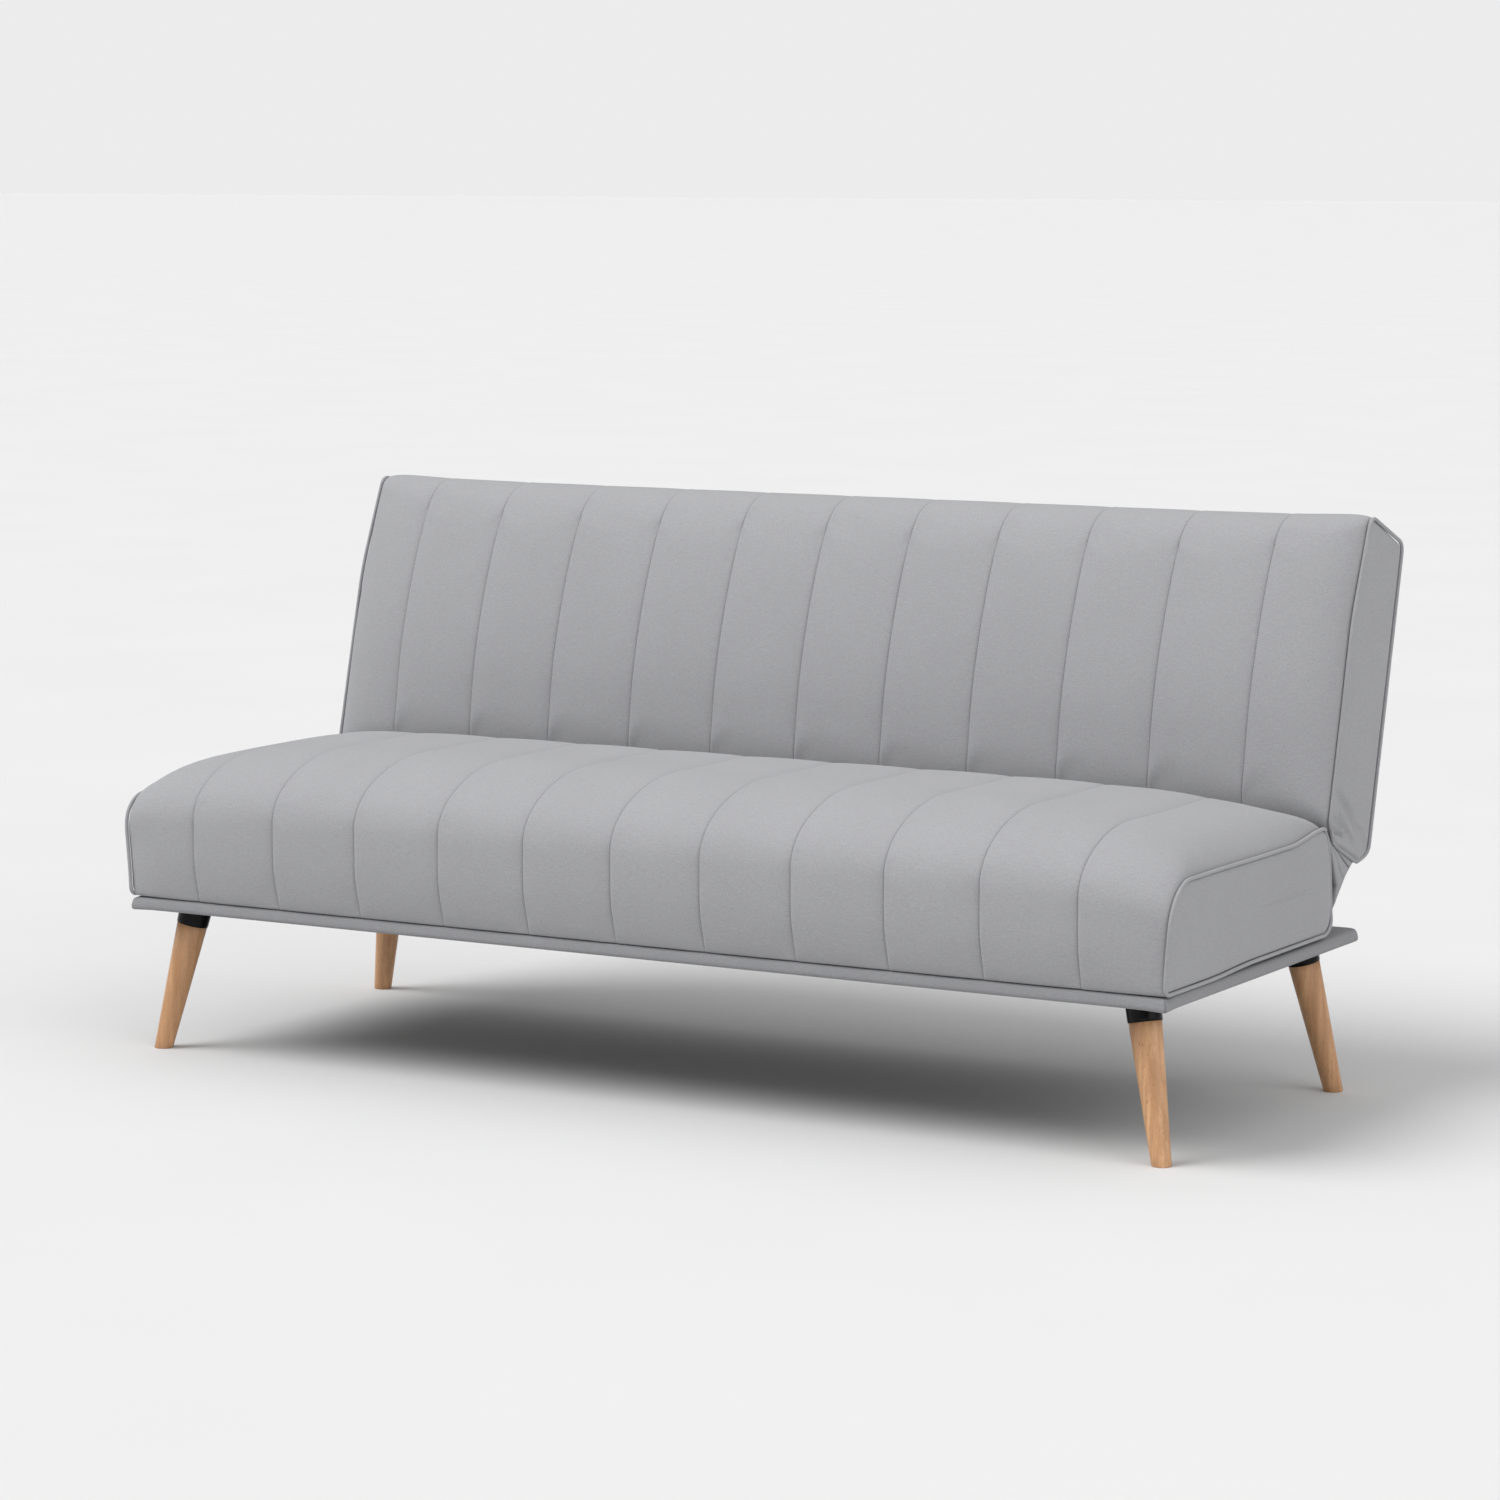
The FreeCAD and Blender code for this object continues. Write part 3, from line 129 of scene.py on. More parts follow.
def grain(tree, vector, scale, detail=3, low=0.35, high=0.65):
    # noise spread to the full range
    texture = addNode(tree, "TexNoise", {"Scale": scale, "Detail": detail, "Vector": vector}, "Fac")
    return addNode(tree, "MapRange", {"From Min": low, "From Max": high, "Value": texture}, "Result")


def bumps(tree, height, strength, distance):
    return addNode(tree, "Bump", {"Strength": strength, "Distance": distance, "Height": height}, "Normal")


def newMaterial(name):
    material = bpy.data.materials.new(name)
    material.use_nodes = True
    return material, material.node_tree


def finishWith(tree, inputs):
    shader = tree.nodes["Principled BSDF"]
    for name, value in inputs.items():
        feed(tree, shader.inputs[name], value)


def clothMaterial(name, dark, light, thread=0.0011, weaveBump=0.3, sheen=0.12, roughness=0.88):
    # plain weave of a dark and a light yarn; thread is the yarn pitch
    material, tree = newMaterial(name)
    plan = addNode(tree, "UVMap", {}, "UV", uv_map="weave")
    split = addNode(tree, "SeparateXYZ", {"Vector": plan}, "X").node
    turns = [maths(tree, "MULTIPLY", split.outputs[axis], 2 * math.pi / thread) for axis in "XY"]
    weave = maths(tree, "MULTIPLY", *(maths(tree, "SINE", turn) for turn in turns))
    solid = placed(tree, (1, 1, 1))
    heather = grain(tree, solid, 650, 4)  # flecks of lighter and darker yarn
    slub = grain(tree, placed(tree, (60, 900, 1), "UV"), 1, 2)
    cloud = grain(tree, solid, 7, 2, 0.2, 0.8)  # handling and pile direction
    fleck = mixColour(tree, heather, dark, light)
    tone = maths(tree, "MULTIPLY_ADD", maths(tree, "ADD", slub, cloud), 0.05, 0.95)
    finishWith(tree, {
        "Base Color": mixColour(tree, 1.0, fleck, tone, blend_type="MULTIPLY"),
        "Roughness": maths(tree, "MULTIPLY_ADD", heather, 0.08, roughness - 0.04),
        "Normal": bumps(tree, maths(tree, "ADD", weave, heather), weaveBump, 0.00025),
        "Sheen Weight": sheen,
        "Sheen Roughness": 0.45,
        "Specular IOR Level": 0.25,
    })
    return material


def woodMaterial(name, pale, deep, ray, direction, roughness=0.42, coat=0.0):
    # straight grain with fine pores and short darker rays
    material, tree = newMaterial(name)
    bands = grain(tree, placed(tree, direction), 2.6, 5, 0.3, 0.7)
    figure = grain(tree, placed(tree, (140, 140, 5)), 1, 3, 0.38, 0.62)
    rays = grain(tree, placed(tree, (900, 900, 70)), 1, 1, 0.6, 0.72)
    base = mixColour(tree, bands, pale, deep)
    base = mixColour(tree, maths(tree, "MULTIPLY", figure, 0.6), base, deep)
    finishWith(tree, {
        "Base Color": mixColour(tree, maths(tree, "MULTIPLY", rays, 0.6), base, ray),
        "Roughness": maths(tree, "MULTIPLY_ADD", figure, 0.12, roughness),
        "Normal": bumps(tree, figure, 0.25, 0.0003),
        "Coat Weight": coat,
        "Coat Roughness": 0.22,
    })
    return material


def hardMaterial(name, low, high, roughness, metallic=0.0, gloss=0.5):
    # paint, plating or moulded plastic: uneven tone, scuffs in the gloss, a fine surface
    material, tree = newMaterial(name)
    solid = placed(tree, (1, 1, 1))
    scuffs = grain(tree, placed(tree, (1, 1, 0.15)), 360, 5, 0.45, 0.75)
    finishWith(tree, {
        "Base Color": mixColour(tree, grain(tree, solid, 60, 4), low, high),
        "Roughness": maths(tree, "MULTIPLY_ADD", scuffs, 0.18, roughness),
        "Normal": bumps(tree, grain(tree, solid, 900, 2), 0.15, 0.0002),
        "Metallic": metallic,
        "Specular IOR Level": gloss,
    })
    return material


cloths = {
    "seat": ((0.300, 0.301, 0.313), (0.358, 0.359, 0.372)),
    # gusset: darker than the seat's cloth, painted shade of the crease between seat and back
    "gusset": ((0.285, 0.286, 0.298), (0.345, 0.346, 0.359)),
    # platform: darker than the seat's cloth, painted shade under the seat's overhang
    "platform": ((0.228, 0.229, 0.239), (0.272, 0.273, 0.284)),
    # thread: real stitching, darkened as painted shade of the seam's groove
    "thread": ((0.17, 0.17, 0.178), (0.23, 0.23, 0.24)),
    "dust": ((0.012, 0.012, 0.013), (0.03, 0.03, 0.032)),
    "elastic": ((0.05, 0.05, 0.05), (0.12, 0.12, 0.12)),
}
woods = {
    "beech": ((0.68, 0.392, 0.200), (0.42, 0.212, 0.095), (0.27, 0.124, 0.052)),
    "frame": ((0.60, 0.45, 0.28), (0.48, 0.33, 0.19), (0.40, 0.26, 0.14)),
    "plywood": ((0.58, 0.42, 0.25), (0.44, 0.30, 0.17), (0.36, 0.24, 0.13)),
}

greyWeave = clothMaterial("greyWeave", *cloths["seat"])
greyPiping = clothMaterial("greyPiping", *cloths["seat"], thread=0.0009)
# crease strip and end webs: cloth darkened as painted shade of the crease
gussetClothPaintedShade = clothMaterial("gussetClothPaintedShade", *cloths["gusset"])
# platform wrap: cloth darkened as painted shade of its low, overhung place
platformClothPaintedShade = clothMaterial("platformClothPaintedShade", *cloths["platform"])
# stitch thread: its darker tone is painted shade of the seam groove
seamThreadWithPaintedShade = clothMaterial("seamThreadWithPaintedShade", *cloths["thread"], thread=0.0005, sheen=0.0)
dustCloth = clothMaterial("dustCloth", *cloths["dust"], thread=0.0024, weaveBump=0.6, sheen=0.0)
elasticWeb = clothMaterial("elasticWeb", *cloths["elastic"], thread=0.002)
beech = woodMaterial("beech", *woods["beech"], direction=(24, 24, 1.1), coat=0.2)
frameWood = woodMaterial("frameWood", *woods["frame"], direction=(1.1, 14, 14), roughness=0.6)
plywood = woodMaterial("plywood", *woods["plywood"], direction=(1.1, 9, 500), roughness=0.65)
collarPlastic = hardMaterial("collarPlastic", (0.002, 0.002, 0.0024), (0.004, 0.004, 0.0045), 0.10, gloss=0.13)
hingeSteel = hardMaterial("hingeSteel", (0.035, 0.036, 0.038), (0.06, 0.06, 0.062), 0.42, metallic=0.7)
zincSteel = hardMaterial("zincSteel", (0.52, 0.51, 0.47), (0.64, 0.63, 0.60), 0.28, metallic=1.0)
spacerPlastic = hardMaterial("spacerPlastic", (0.02, 0.02, 0.02), (0.035, 0.035, 0.035), 0.5)
print("materials made")


def smooth(share):
    share = min(1.0, max(0.0, share))
    return share * share * (3 - 2 * share)


def ramp(value, *spans):
    # 0 before each span's start and 1 past its finish, whichever way it runs; several multiply
    share = 1.0
    for start, finish in spans:
        share *= smooth((value - start) / (finish - start))
    return share


def within(change, depth, rise):
    # a change is an amount, then its spans of depth and its spans of rise, each from none to all
    amount, depths, rises = change
    return amount * ramp(depth, *depths) * ramp(rise, *rises)


def signedVolume(mesh):
    # below nought if the faces look inwards
    total = 0.0
    for polygon in mesh.polygons:
        corners = [mesh.vertices[i].co for i in polygon.vertices]
        for b, c in zip(corners[1:], corners[2:]):
            total += corners[0].dot(b.cross(c))
    return total


def meshPiece(name, points, faces, material, plan=None, turnOut=False):
    # plan gives each point its place on the flat cloth, in metres; flat caps keep a sharp edge
    mesh = bpy.data.meshes.new(name)
    mesh.from_pydata([tuple(point) for point in points], [], faces)
    if plan is not None:
        layer = mesh.uv_layers.new(name="weave")
        corners = np.zeros(len(mesh.loops), np.int32)
        mesh.loops.foreach_get("vertex_index", corners)
        layer.data.foreach_set("uv", np.asarray(plan, np.float32)[corners].ravel())
    mesh.polygons.foreach_set("use_smooth", [len(face) <= 4 for face in faces])
    mesh.update()
    mesh.materials.append(material)
    if turnOut and signedVolume(mesh) < 0:
        mesh.flip_normals()
    piece = bpy.data.objects.new(name, mesh)
    bpy.context.collection.objects.link(piece)
    return piece


def gridFaces(rows, columns, wrapped=False, joined=False, first=0):
    # quads over rows of points; wrapped joins each row's end to its start, joined the last row to the first
    faces = []
    for row in range(rows if joined else rows - 1):
        here, there = first + row * columns, first + (row + 1) % rows * columns
        for column in range(columns if wrapped else columns - 1):
            onward = (column + 1) % columns
            faces.append((here + column, here + onward, there + onward, there + column))
    return faces


def roundedRing(corners, reaches, runs, turns):
    # closed outline: a quarter of an ellipse at each corner, then a straight run to the next
    count = len(corners)
    corners = [Vector(corner) for corner in corners]
    ring = []
    for i, corner in enumerate(corners):
        following = corners[(i + 1) % count]
        back = (corners[i - 1] - corner).normalized() * reaches[i][0]
        onward = (following - corner).normalized()
        for step in range(turns[i] + 1):
            turn = math.pi / 2 * step / turns[i]
            ring.append(corner + back * (1 - math.sin(turn)) + onward * reaches[i][1] * (1 - math.cos(turn)))
        start, finish = ring[-1], following - onward * reaches[(i + 1) % count][0]
        ring += [start.lerp(finish, step / runs[i]) for step in range(1, runs[i])]
    return ring


def arcRing(corners, radii, spacing):
    # closed outline with true arcs, evenly stepped
    corners = [Vector(corner) for corner in corners]
    arcs = []
    for before, corner, after, radius in zip(corners[-1:] + corners, corners, corners[1:] + corners[:1], radii):
        back = (before - corner).normalized()
        onward = (after - corner).normalized()
        half = back.angle(onward) / 2
        reach = radius / math.tan(half)
        centre = corner + (back + onward).normalized() * (radius / math.sin(half))
        arcs.append((corner + back * reach, centre, corner + onward * reach, radius, math.pi - 2 * half))
    ring = []
    for (start, centre, finish, radius, sweep), (following, *_) in zip(arcs, arcs[1:] + arcs[:1]):
        steps = max(4, math.ceil(radius * sweep / spacing))
        first, last = start - centre, finish - centre
        for step in range(steps):
            turn = step / steps * sweep
            ring.append(centre + (first * math.sin(sweep - turn) + last * math.sin(turn)) / math.sin(sweep))
        steps = max(1, round((following - finish).length / (2 * spacing)))
        ring += [finish.lerp(following, step / steps) for step in range(steps)]
    return ring


def ringNormals(ring):
    # outward normals of a closed outline, whichever way it runs
    after = ring[1:] + ring[:1]
    turn = 1 if sum(a.x * b.y - b.x * a.y for a, b in zip(ring, after)) > 0 else -1
    normals = []
    for before, onward in zip(ring[-1:] + ring, after):
        along = onward - before
        normals.append(Vector((along.y, -along.x)).normalized() * turn)
    return normals


def runsAlong(path):
    # length along a path up to each point
    runs = [0.0]
    for a, b in zip(path, path[1:]):
        runs.append(runs[-1] + (b - a).length)
    return runs


def circle(centre, side, up, radius, count):
    turns = [2 * math.pi * step / count for step in range(count)]
    return [centre + (side * math.cos(turn) + up * math.sin(turn)) * radius for turn in turns]


def tubePiece(name, path, radius, material, sides=10, wobble=0.05):
    # a round cord along a closed path
    points, plan = [], []
    for spot, before, onward, run in zip(path, path[-1:] + path, path[1:] + path[:1], runsAlong(path)):
        along = (onward - before).normalized()
        side = along.cross(Vector((1, 0, 0))).normalized()
        up = side.cross(along)
        points += circle(spot, side, up, radius * (1 + wobble * noise.noise(spot * 40)), sides)
        plan += [(run, 2 * math.pi * radius * step / sides) for step in range(sides)]
    return meshPiece(name, points, gridFaces(len(path), sides, wrapped=True, joined=True), material, plan)


fullness = {
    "pressure": 3.5,
    "cap": 0.0024,  # how far a point may move
    "frames": 20,
    "cloth": {
        "quality": 5, "mass": 0.25, "tension_stiffness": 25, "compression_stiffness": 25,
        "shear_stiffness": 6.25, "bending_stiffness": 1.5, "use_pressure": True, "vertex_group_mass": "sewn",
    },
}


def inflate(piece, held):
    # cloth pushed out from inside, sewn down where held is set
    group = piece.vertex_groups.new(name="sewn")
    group.add([i for i, fixed in enumerate(held) if fixed], 1.0, "REPLACE")
    start = np.zeros(len(piece.data.vertices) * 3)
    piece.data.vertices.foreach_get("co", start)
    cloth = piece.modifiers.new("Cloth", "CLOTH")
    for name, value in fullness["cloth"].items():
        setattr(cloth.settings, name, value)
    cloth.settings.uniform_pressure_force = fullness["pressure"]
    cloth.settings.effector_weights.gravity = 0
    cloth.collision_settings.use_collision = False
    scene = bpy.context.scene
    cloth.point_cache.frame_start = 1
    cloth.point_cache.frame_end = fullness["frames"]
    for number in range(1, fullness["frames"] + 1):
        scene.frame_set(number)
    shaped = piece.evaluated_get(bpy.context.evaluated_depsgraph_get())
    end = np.zeros_like(start)
    shaped.data.vertices.foreach_get("co", end)
    moved = (end - start).reshape(-1, 3)
    far = np.linalg.norm(moved, axis=1)
    print(f"{piece.name} moved {1000 * far.mean():.2f} mm on average, {1000 * far.max():.2f} at most")
    moved *= np.minimum(1, fullness["cap"] / np.maximum(far, 1e-9))[:, None]
    piece.modifiers.remove(cloth)
    piece.vertex_groups.remove(group)
    piece.data.vertices.foreach_set("co", (start.reshape(-1, 3) + moved).ravel())
    piece.data.update()
    scene.frame_set(1)


channels = {
    "count": 12,
    "pitch": 0.1489,
    "pull": 0.0024,  # how far a seam is drawn in
    "fall": (0.0070, 0.0014),  # how quickly the cloth rises left and right of it
    "lip": 0.0008,  # the folded edge stands up on the right
    "lipPlace": (0.0038, 0.0028),
    "notch": (0.0007, 0.0005),  # depth and fall of the thread's own line
    "puff": 0.0012,  # fullness between seams
    "puffPower": 0.7,
    "edgePull": 0.0014,  # drawn in beside the cord
    "edgeFall": 0.0022,
    "edgeFade": 0.03,
    "steps": (0.0, 0.0006, 0.0014, 0.003, 0.006, 0.011, 0.02, 0.034, 0.052),
    "endSteps": (0.0006, 0.0014, 0.003, 0.006, 0.012, 0.026, 0.042, 0.058, 0.074, 0.089, 0.101, 0.110, 0.1165,
                 0.1205, 0.123, 0.1243),
    "endRoom": 0.1248,  # what endSteps are steps of
}
seams = [(i - (channels["count"] - 2) / 2) * channels["pitch"] for i in range(channels["count"] - 1)]
endWidth = halfLength - seams[-1]


def columnPlaces():
    # every column of points along the sofa, close together beside a seam
    places = []
    for seam in seams[:-1]:
        places += [seam + step for step in channels["steps"]]
        places.append(seam + channels["pitch"] / 2)
        places += [seam + channels["pitch"] - step for step in channels["steps"][:0:-1]]
    places.append(seams[-1])
    ends = [seams[-1] + step * endWidth / channels["endRoom"] for step in channels["endSteps"]] + [halfLength]
    return [-x for x in reversed(ends)] + places + ends


def crownShare(x, power):
    return math.sqrt(max(0.0, 1 - (abs(x) / halfLength) ** power))


def channelDepth(x):
    # how far the cloth stands in (-) or out (+) at x
    nearest = min(seams, key=lambda seam: abs(x - seam))
    gap = abs(x - nearest)
    atEnd = abs(x) > seams[-1]
    width = endWidth if atEnd else channels["pitch"]
    reach = math.sin(math.pi * min(1.0, gap / width)) ** channels["puffPower"] if gap < width else 0.0
    fold = math.exp(-gap / channels["fall"][x > nearest])
    fade = smooth((halfLength - abs(x)) / channels["edgeFade"]) if abs(x) >= seams[-1] else 1
    edge = channels["edgePull"] * math.exp((abs(x) - halfLength) / channels["edgeFall"])
    middle, spread = channels["lipPlace"]
    lip = channels["lip"] * math.exp(-((gap - middle) / spread) ** 2) * (x > nearest)
    deep, fall = channels["notch"]
    notch = deep * math.exp(-gap / fall)
    return fade * (channels["puff"] * reach + lip - channels["pull"] * fold - notch) - edge


def mixPairs(ends, middles, share):
    return [tuple(a + (b - a) * share for a, b in zip(end, middle)) for end, middle in zip(ends, middles)]


def outlineWeights(runs, turns, spans):
    # how far the channels show at each point of the outline: through each corner, then along its run
    weights = []
    for run, turn, (begin, end, runEnd) in zip(runs, turns, spans):
        weights += [begin + (end - begin) * i / turn for i in range(turn + 1)]
        weights += [end + (runEnd - end) * i / run for i in range(1, run)]
    return weights


def noFlare(spot, x):
    return 0.0


def cushionPiece(name, sizes, form, place, shift, flare):
    # form gives corners and reaches at x; place turns an outline point into a point of the model
    runs, turns = sizes["runs"], sizes["turns"]
    weights = outlineWeights(runs, turns, sizes["weights"])
    places = columnPlaces()
    points, plan, held = [], [], []
    for x in places:
        ring = roundedRing(*form(x), runs, turns)
        fixed = any(abs(x - seam) < 1e-6 for seam in seams) or abs(x) > halfLength - 0.002
        for spot, normal, run, weight in zip(ring, ringNormals(ring), runsAlong(ring), weights):
            spot = spot + normal * channelDepth(x) * weight
            spot = spot + shift(spot, x)
            points.append(place(x + flare(spot, x), spot))
            plan.append((x, run))
            held.append(weight < 0.05 or fixed)
    columns = len(ring)
    faces = gridFaces(len(places), columns, wrapped=True)
    for side, row in ((-1, 0), (1, len(places) - 1)):
        # the closed ends lie behind the end panels
        first = row * columns
        hub = len(points)
        points.append(sum((Vector(points[first + i]) for i in range(columns)), Vector()) / columns)
        plan.append((places[row], 0))
        held.append(True)
        for i in range(columns):
            here, onward = first + i, first + (i + 1) % columns
            faces.append((here, onward, hub) if side > 0 else (onward, here, hub))
    return meshPiece(name, points, faces, greyWeave, plan, turnOut=True), held, places, weights


stitch = {
    "pitch": 0.0042,
    "thick": 0.00038,
    # share of the pitch, and height over the cloth in thicknesses: down, up, along and down again
    "course": ((0.0, -1.2), (0.2, 1.1), (0.72, 1.1), (0.92, -1.2)),
}


def seamThreadPiece(name, cushion, places, weights):
    # running stitches along each seam, dipping into the cloth between them
    points, faces, plan = [], [], []
    columns, thick = len(weights), stitch["thick"]
    for seam in seams:
        row = min(range(len(places)), key=lambda i: abs(places[i] - seam))
        line = [cushion.data.vertices[row * columns + i] for i in range(columns) if weights[i] > 0.2]
        line = [(vertex.co.copy(), vertex.normal.copy()) for vertex in line]
        runs = runsAlong([spot for spot, _ in line])
        total = int(runs[-1] / stitch["pitch"])
        first = len(points)
        for number in range(total):
            for mark, high in stitch["course"]:
                run = (number + mark) * stitch["pitch"]
                k = min(max(np.searchsorted(runs, run) - 1, 0), len(line) - 2)
                (spot, out), (nextSpot, nextOut) = line[k], line[k + 1]
                share = (run - runs[k]) / max(runs[k + 1] - runs[k], 1e-9)
                along = (nextSpot - spot).normalized()
                out = out.lerp(nextOut, share).normalized()
                side = along.cross(out).normalized()
                centre = spot.lerp(nextSpot, share) + out * (thick * high)
                for dx, dn in ((1, 0), (0, 1), (-1, 0), (0, -1)):
                    points.append(centre + side * dx * thick + out * dn * thick)
                    plan.append((run, dx * thick))
        faces += gridFaces(total * len(stitch["course"]), 4, wrapped=True, first=first)
    return meshPiece(name, points, faces, seamThreadWithPaintedShade, plan)


def makeCushion(kind, body, sizes, form, place, shift, flare=noFlare):
    cushion, held, places, weights = cushionPiece(f"{kind}_cushion", sizes, form, place, shift, flare)
    inflate(cushion, held)
    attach(cushion, body)
    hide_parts(f"{kind}_cover", f"{kind}_foam")
    stitches = seamThreadPiece(f"{kind}_seam_thread", cushion, places, weights)
    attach(stitches, body)


panel = {
    "thick": 0.0024,
    "bulge": 0.0012,
    "groove": 0.016,  # share over which it is drawn in beside the cord
    "rings": 46,
    "rim": (1.0, 0.985, 0.965),
    "spacing": 0.0025,
    "cordRadius": 0.0029,
    "cordSpacing": 0.006,
    "dive": 0.0036,  # how far a hidden cord sinks into its seam
}


def panelPiece(name, ring, side, place, wrinkle, spine, flare):
    # an end panel with a soft face, in rings round a centre line; wrinkle(point, share) adds to it
    middle = sum(ring, Vector((0, 0))) / len(ring)
    runs = [(spot - middle).dot(spine) / spine.length_squared for spot in ring]
    hubs = [middle + spine * max(-1.0, min(1.0, run)) for run in runs]
    count, rings = len(ring), panel["rings"]
    points, plan = [], []
    inner = halfLength + 0.0001
    last = panel["rim"][-1]
    shares = panel["rim"] + tuple(last * (1 - (layer / (rings - 1)) ** 1.1) for layer in range(1, rings - 1))

    def add(out, spot):
        points.append(place(side * out + flare(spot, side), spot))
        plan.append(tuple(spot))

    for share in shares:
        groove = math.exp((share - 1) / panel["groove"])
        for spot, near in zip(ring, hubs):
            at = near + (spot - near) * share
            out = panel["thick"] * (1 - groove) + panel["bulge"] * (1 - share ** 6) + wrinkle(at, share)
            add(inner + out, at)
    faces = gridFaces(rings + 1, count, wrapped=True)
    add(inner + panel["thick"] + panel["bulge"] + wrinkle(middle, 0), middle)
    around = [(i, (i + 1) % count) for i in range(count)]
    hub, rim = len(points) - 1, len(points)
    faces += [(rings * count + a, rings * count + b, hub) for a, b in around]
    for spot in ring:
        add(inner, spot)
    faces += [(rim + a, rim + b, b, a) for a, b in around]
    add(inner, middle)
    faces += [(rim + b, rim + a, len(points) - 1) for a, b in around]
    return meshPiece(name, points, faces, greyWeave, plan, turnOut=True)


def makeEnds(kind, body, sizes, corners, place, shift, wrinkle, hidden, flare=noFlare):
    # a panel at each end, with a cord round it that dives into the seam where hidden is 1
    grow = panel["cordRadius"]

    def outline(side, grow, spacing):
        ring = arcRing(corners(grow), [radius + grow for radius in sizes["radii"]], spacing)
        return [spot + shift(spot, side * halfLength) for spot in ring]

    for sideName, side in sides:
        ring = outline(side, 0.0, panel["spacing"])
        face = panelPiece(f"{kind}_end_{sideName}", ring, side, place, wrinkle, Vector(sizes["spine"]), flare)
        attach(face, body)
        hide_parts(f"{kind}_end_panel_{sideName}")
        path = [place(side * (halfLength + grow - panel["dive"] * hidden(spot)) + flare(spot, side), spot)
                for spot in outline(side, grow, panel["cordSpacing"])]
        cord = tubePiece(f"{kind}_cord_{sideName}", path, grow, greyPiping)
        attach(cord, body)
        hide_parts(f"{kind}_piping_{sideName}")


seat = {
    "low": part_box("seat_cover")[0].z,
    "setback": 0.004,
    "topDepth": 0.537,
    "bottomDepth": 0.566,
    "endHeight": 0.147,
    "radii": (0.009, 0.061, 0.022, 0.024),  # of the ends: low front, top front, top rear, low rear
    "rearStretch": (0.82, 1.22),  # of the two rear ones, where the cover turns in
    "crown": 0.0785,
    "crownPower": 7,
    "bulge": 0.017,
    "crownDepth": 0.558,
    "lowRound": 0.004,  # where the front meets the platform
    "frontReach": (0.096, 0.185),  # down the front, along the top
    "rearReach": (0.206, 0.182),  # along the top, down the rear
    "runs": (9, 22, 7, 26),
    "turns": (5, 18, 18, 4),
    "spine": (0.205, 0),  # half the line that the ends' rings close round
    "weights": ((0.0, 1.0, 1.0), (1.0, 1.0, 1.0), (1.0, 1.0, 0.3), (0.3, 0.0, 0.0)),
    # how the sewn ends leave the plain outline, as changes within spans
    "endSpan": (0.79, 0.865),  # along the sofa
    "lift": (0.0045, ((0.14, 0.30), (0.62, 0.56)), ((0.03, 0.0),)),  # the bottom edge rides up
    "climb": (0.010, ((0.41, 0.53),), ((0.06, 0.13),)),  # the top edge climbs to the rear corner
    "dip": (-0.0015, ((0.12, 0.32), (0.50, 0.40)), ((0.06, 0.13),)),  # after a slight dip
    "swell": (0.007, ((0.47, 0.54),), ((0.018, 0.048), (0.155, 0.095))),  # the rear edge bows back
    "squarer": 0.0047,  # the left end keeps a fuller front corner
    "squareReach": (0.062, 0.022),
    "flareSpan": (0.74, 0.86),  # the ends lean out towards the top, and more in front
    "flare": (0.0025, (), ((0.0, 0.13),)),
    "frontFlare": (0.0045, ((0.34, 0.0),), ((0.0, 0.13),)),
    "hide": (1.0, ((-0.006, 0.002),), ((0.10, 0.28),)),  # the cord dives into the seam up the rear edge
    "tuck": 0.34,  # share of the front's height that curls under
    "curlDepth": (0.07, 0.02),
    "press": (-1.0, ((0.05, 0.005),), ((0.028, 0.0),)),  # the front's foot goes down to the platform
    "clear": 0.0006,
    "drag": (0.0003, 34, 0.12),  # drag lines from the rear corner: height, rays and how far they fade
    "soft": 0.0005,
}


def seatPlace(x, spot):
    return Vector((x, frontEdge + spot.x, spot.y))


def seatCorners(grow=0.0):
    low, front = seat["low"], seat["setback"]
    top = low + seat["endHeight"]
    return [
        (front - grow, low - grow), (front - grow, top + grow),
        (front + seat["topDepth"] + grow, top + grow), (front + seat["bottomDepth"] + grow, low - grow),
    ]


def seatForm(x):
    share = crownShare(x, seat["crownPower"])
    low, front = seat["low"], seat["setback"]
    top = low + seat["endHeight"] + seat["crown"]
    middle = [
        (front, low), (front - seat["bulge"], top),
        (front + seat["crownDepth"], top), (front + seat["bottomDepth"], low),
    ]
    stretch = (1, 1, *seat["rearStretch"])
    endReaches = [(radius * more, radius * more) for radius, more in zip(seat["radii"], stretch)]
    small = seat["radii"][0]
    middleReaches = [(seat["lowRound"],) * 2, seat["frontReach"], seat["rearReach"], (small, small)]
    return mixPairs(seatCorners(), middle, share), mixPairs(endReaches, middleReaches, share)


def seatShift(spot, x):
    depth, rise = spot.x, spot.y - seat["low"]
    up = sum(within(seat[change], depth, rise) for change in ("lift", "climb", "dip"))
    push = Vector((0, 0))
    if x < 0:
        reach = (spot - Vector(seatCorners()[1])).length
        push = Vector((-1, 1)) * (seat["squarer"] * ramp(reach, seat["squareReach"]))
    return ramp(abs(x), seat["endSpan"]) * (Vector((within(seat["swell"], depth, rise), up)) + push)


def seatSettle(spot, x):
    # the front curls under and presses down on the platform
    share = crownShare(x, seat["crownPower"])
    rise = spot.y - seat["low"]
    high = min(1.0, max(0.0, rise / (seat["endHeight"] + seat["crown"] * share)))
    curl = math.sin(math.pi / 2 * min(1.0, high / seat["tuck"])) - high
    forward = seat["bulge"] * share * curl * ramp(spot.x, seat["curlDepth"])
    down = (seat["low"] - platformHigh.z - seat["clear"]) * within(seat["press"], spot.x, rise)
    return seatShift(spot, x) + Vector((-forward, down))


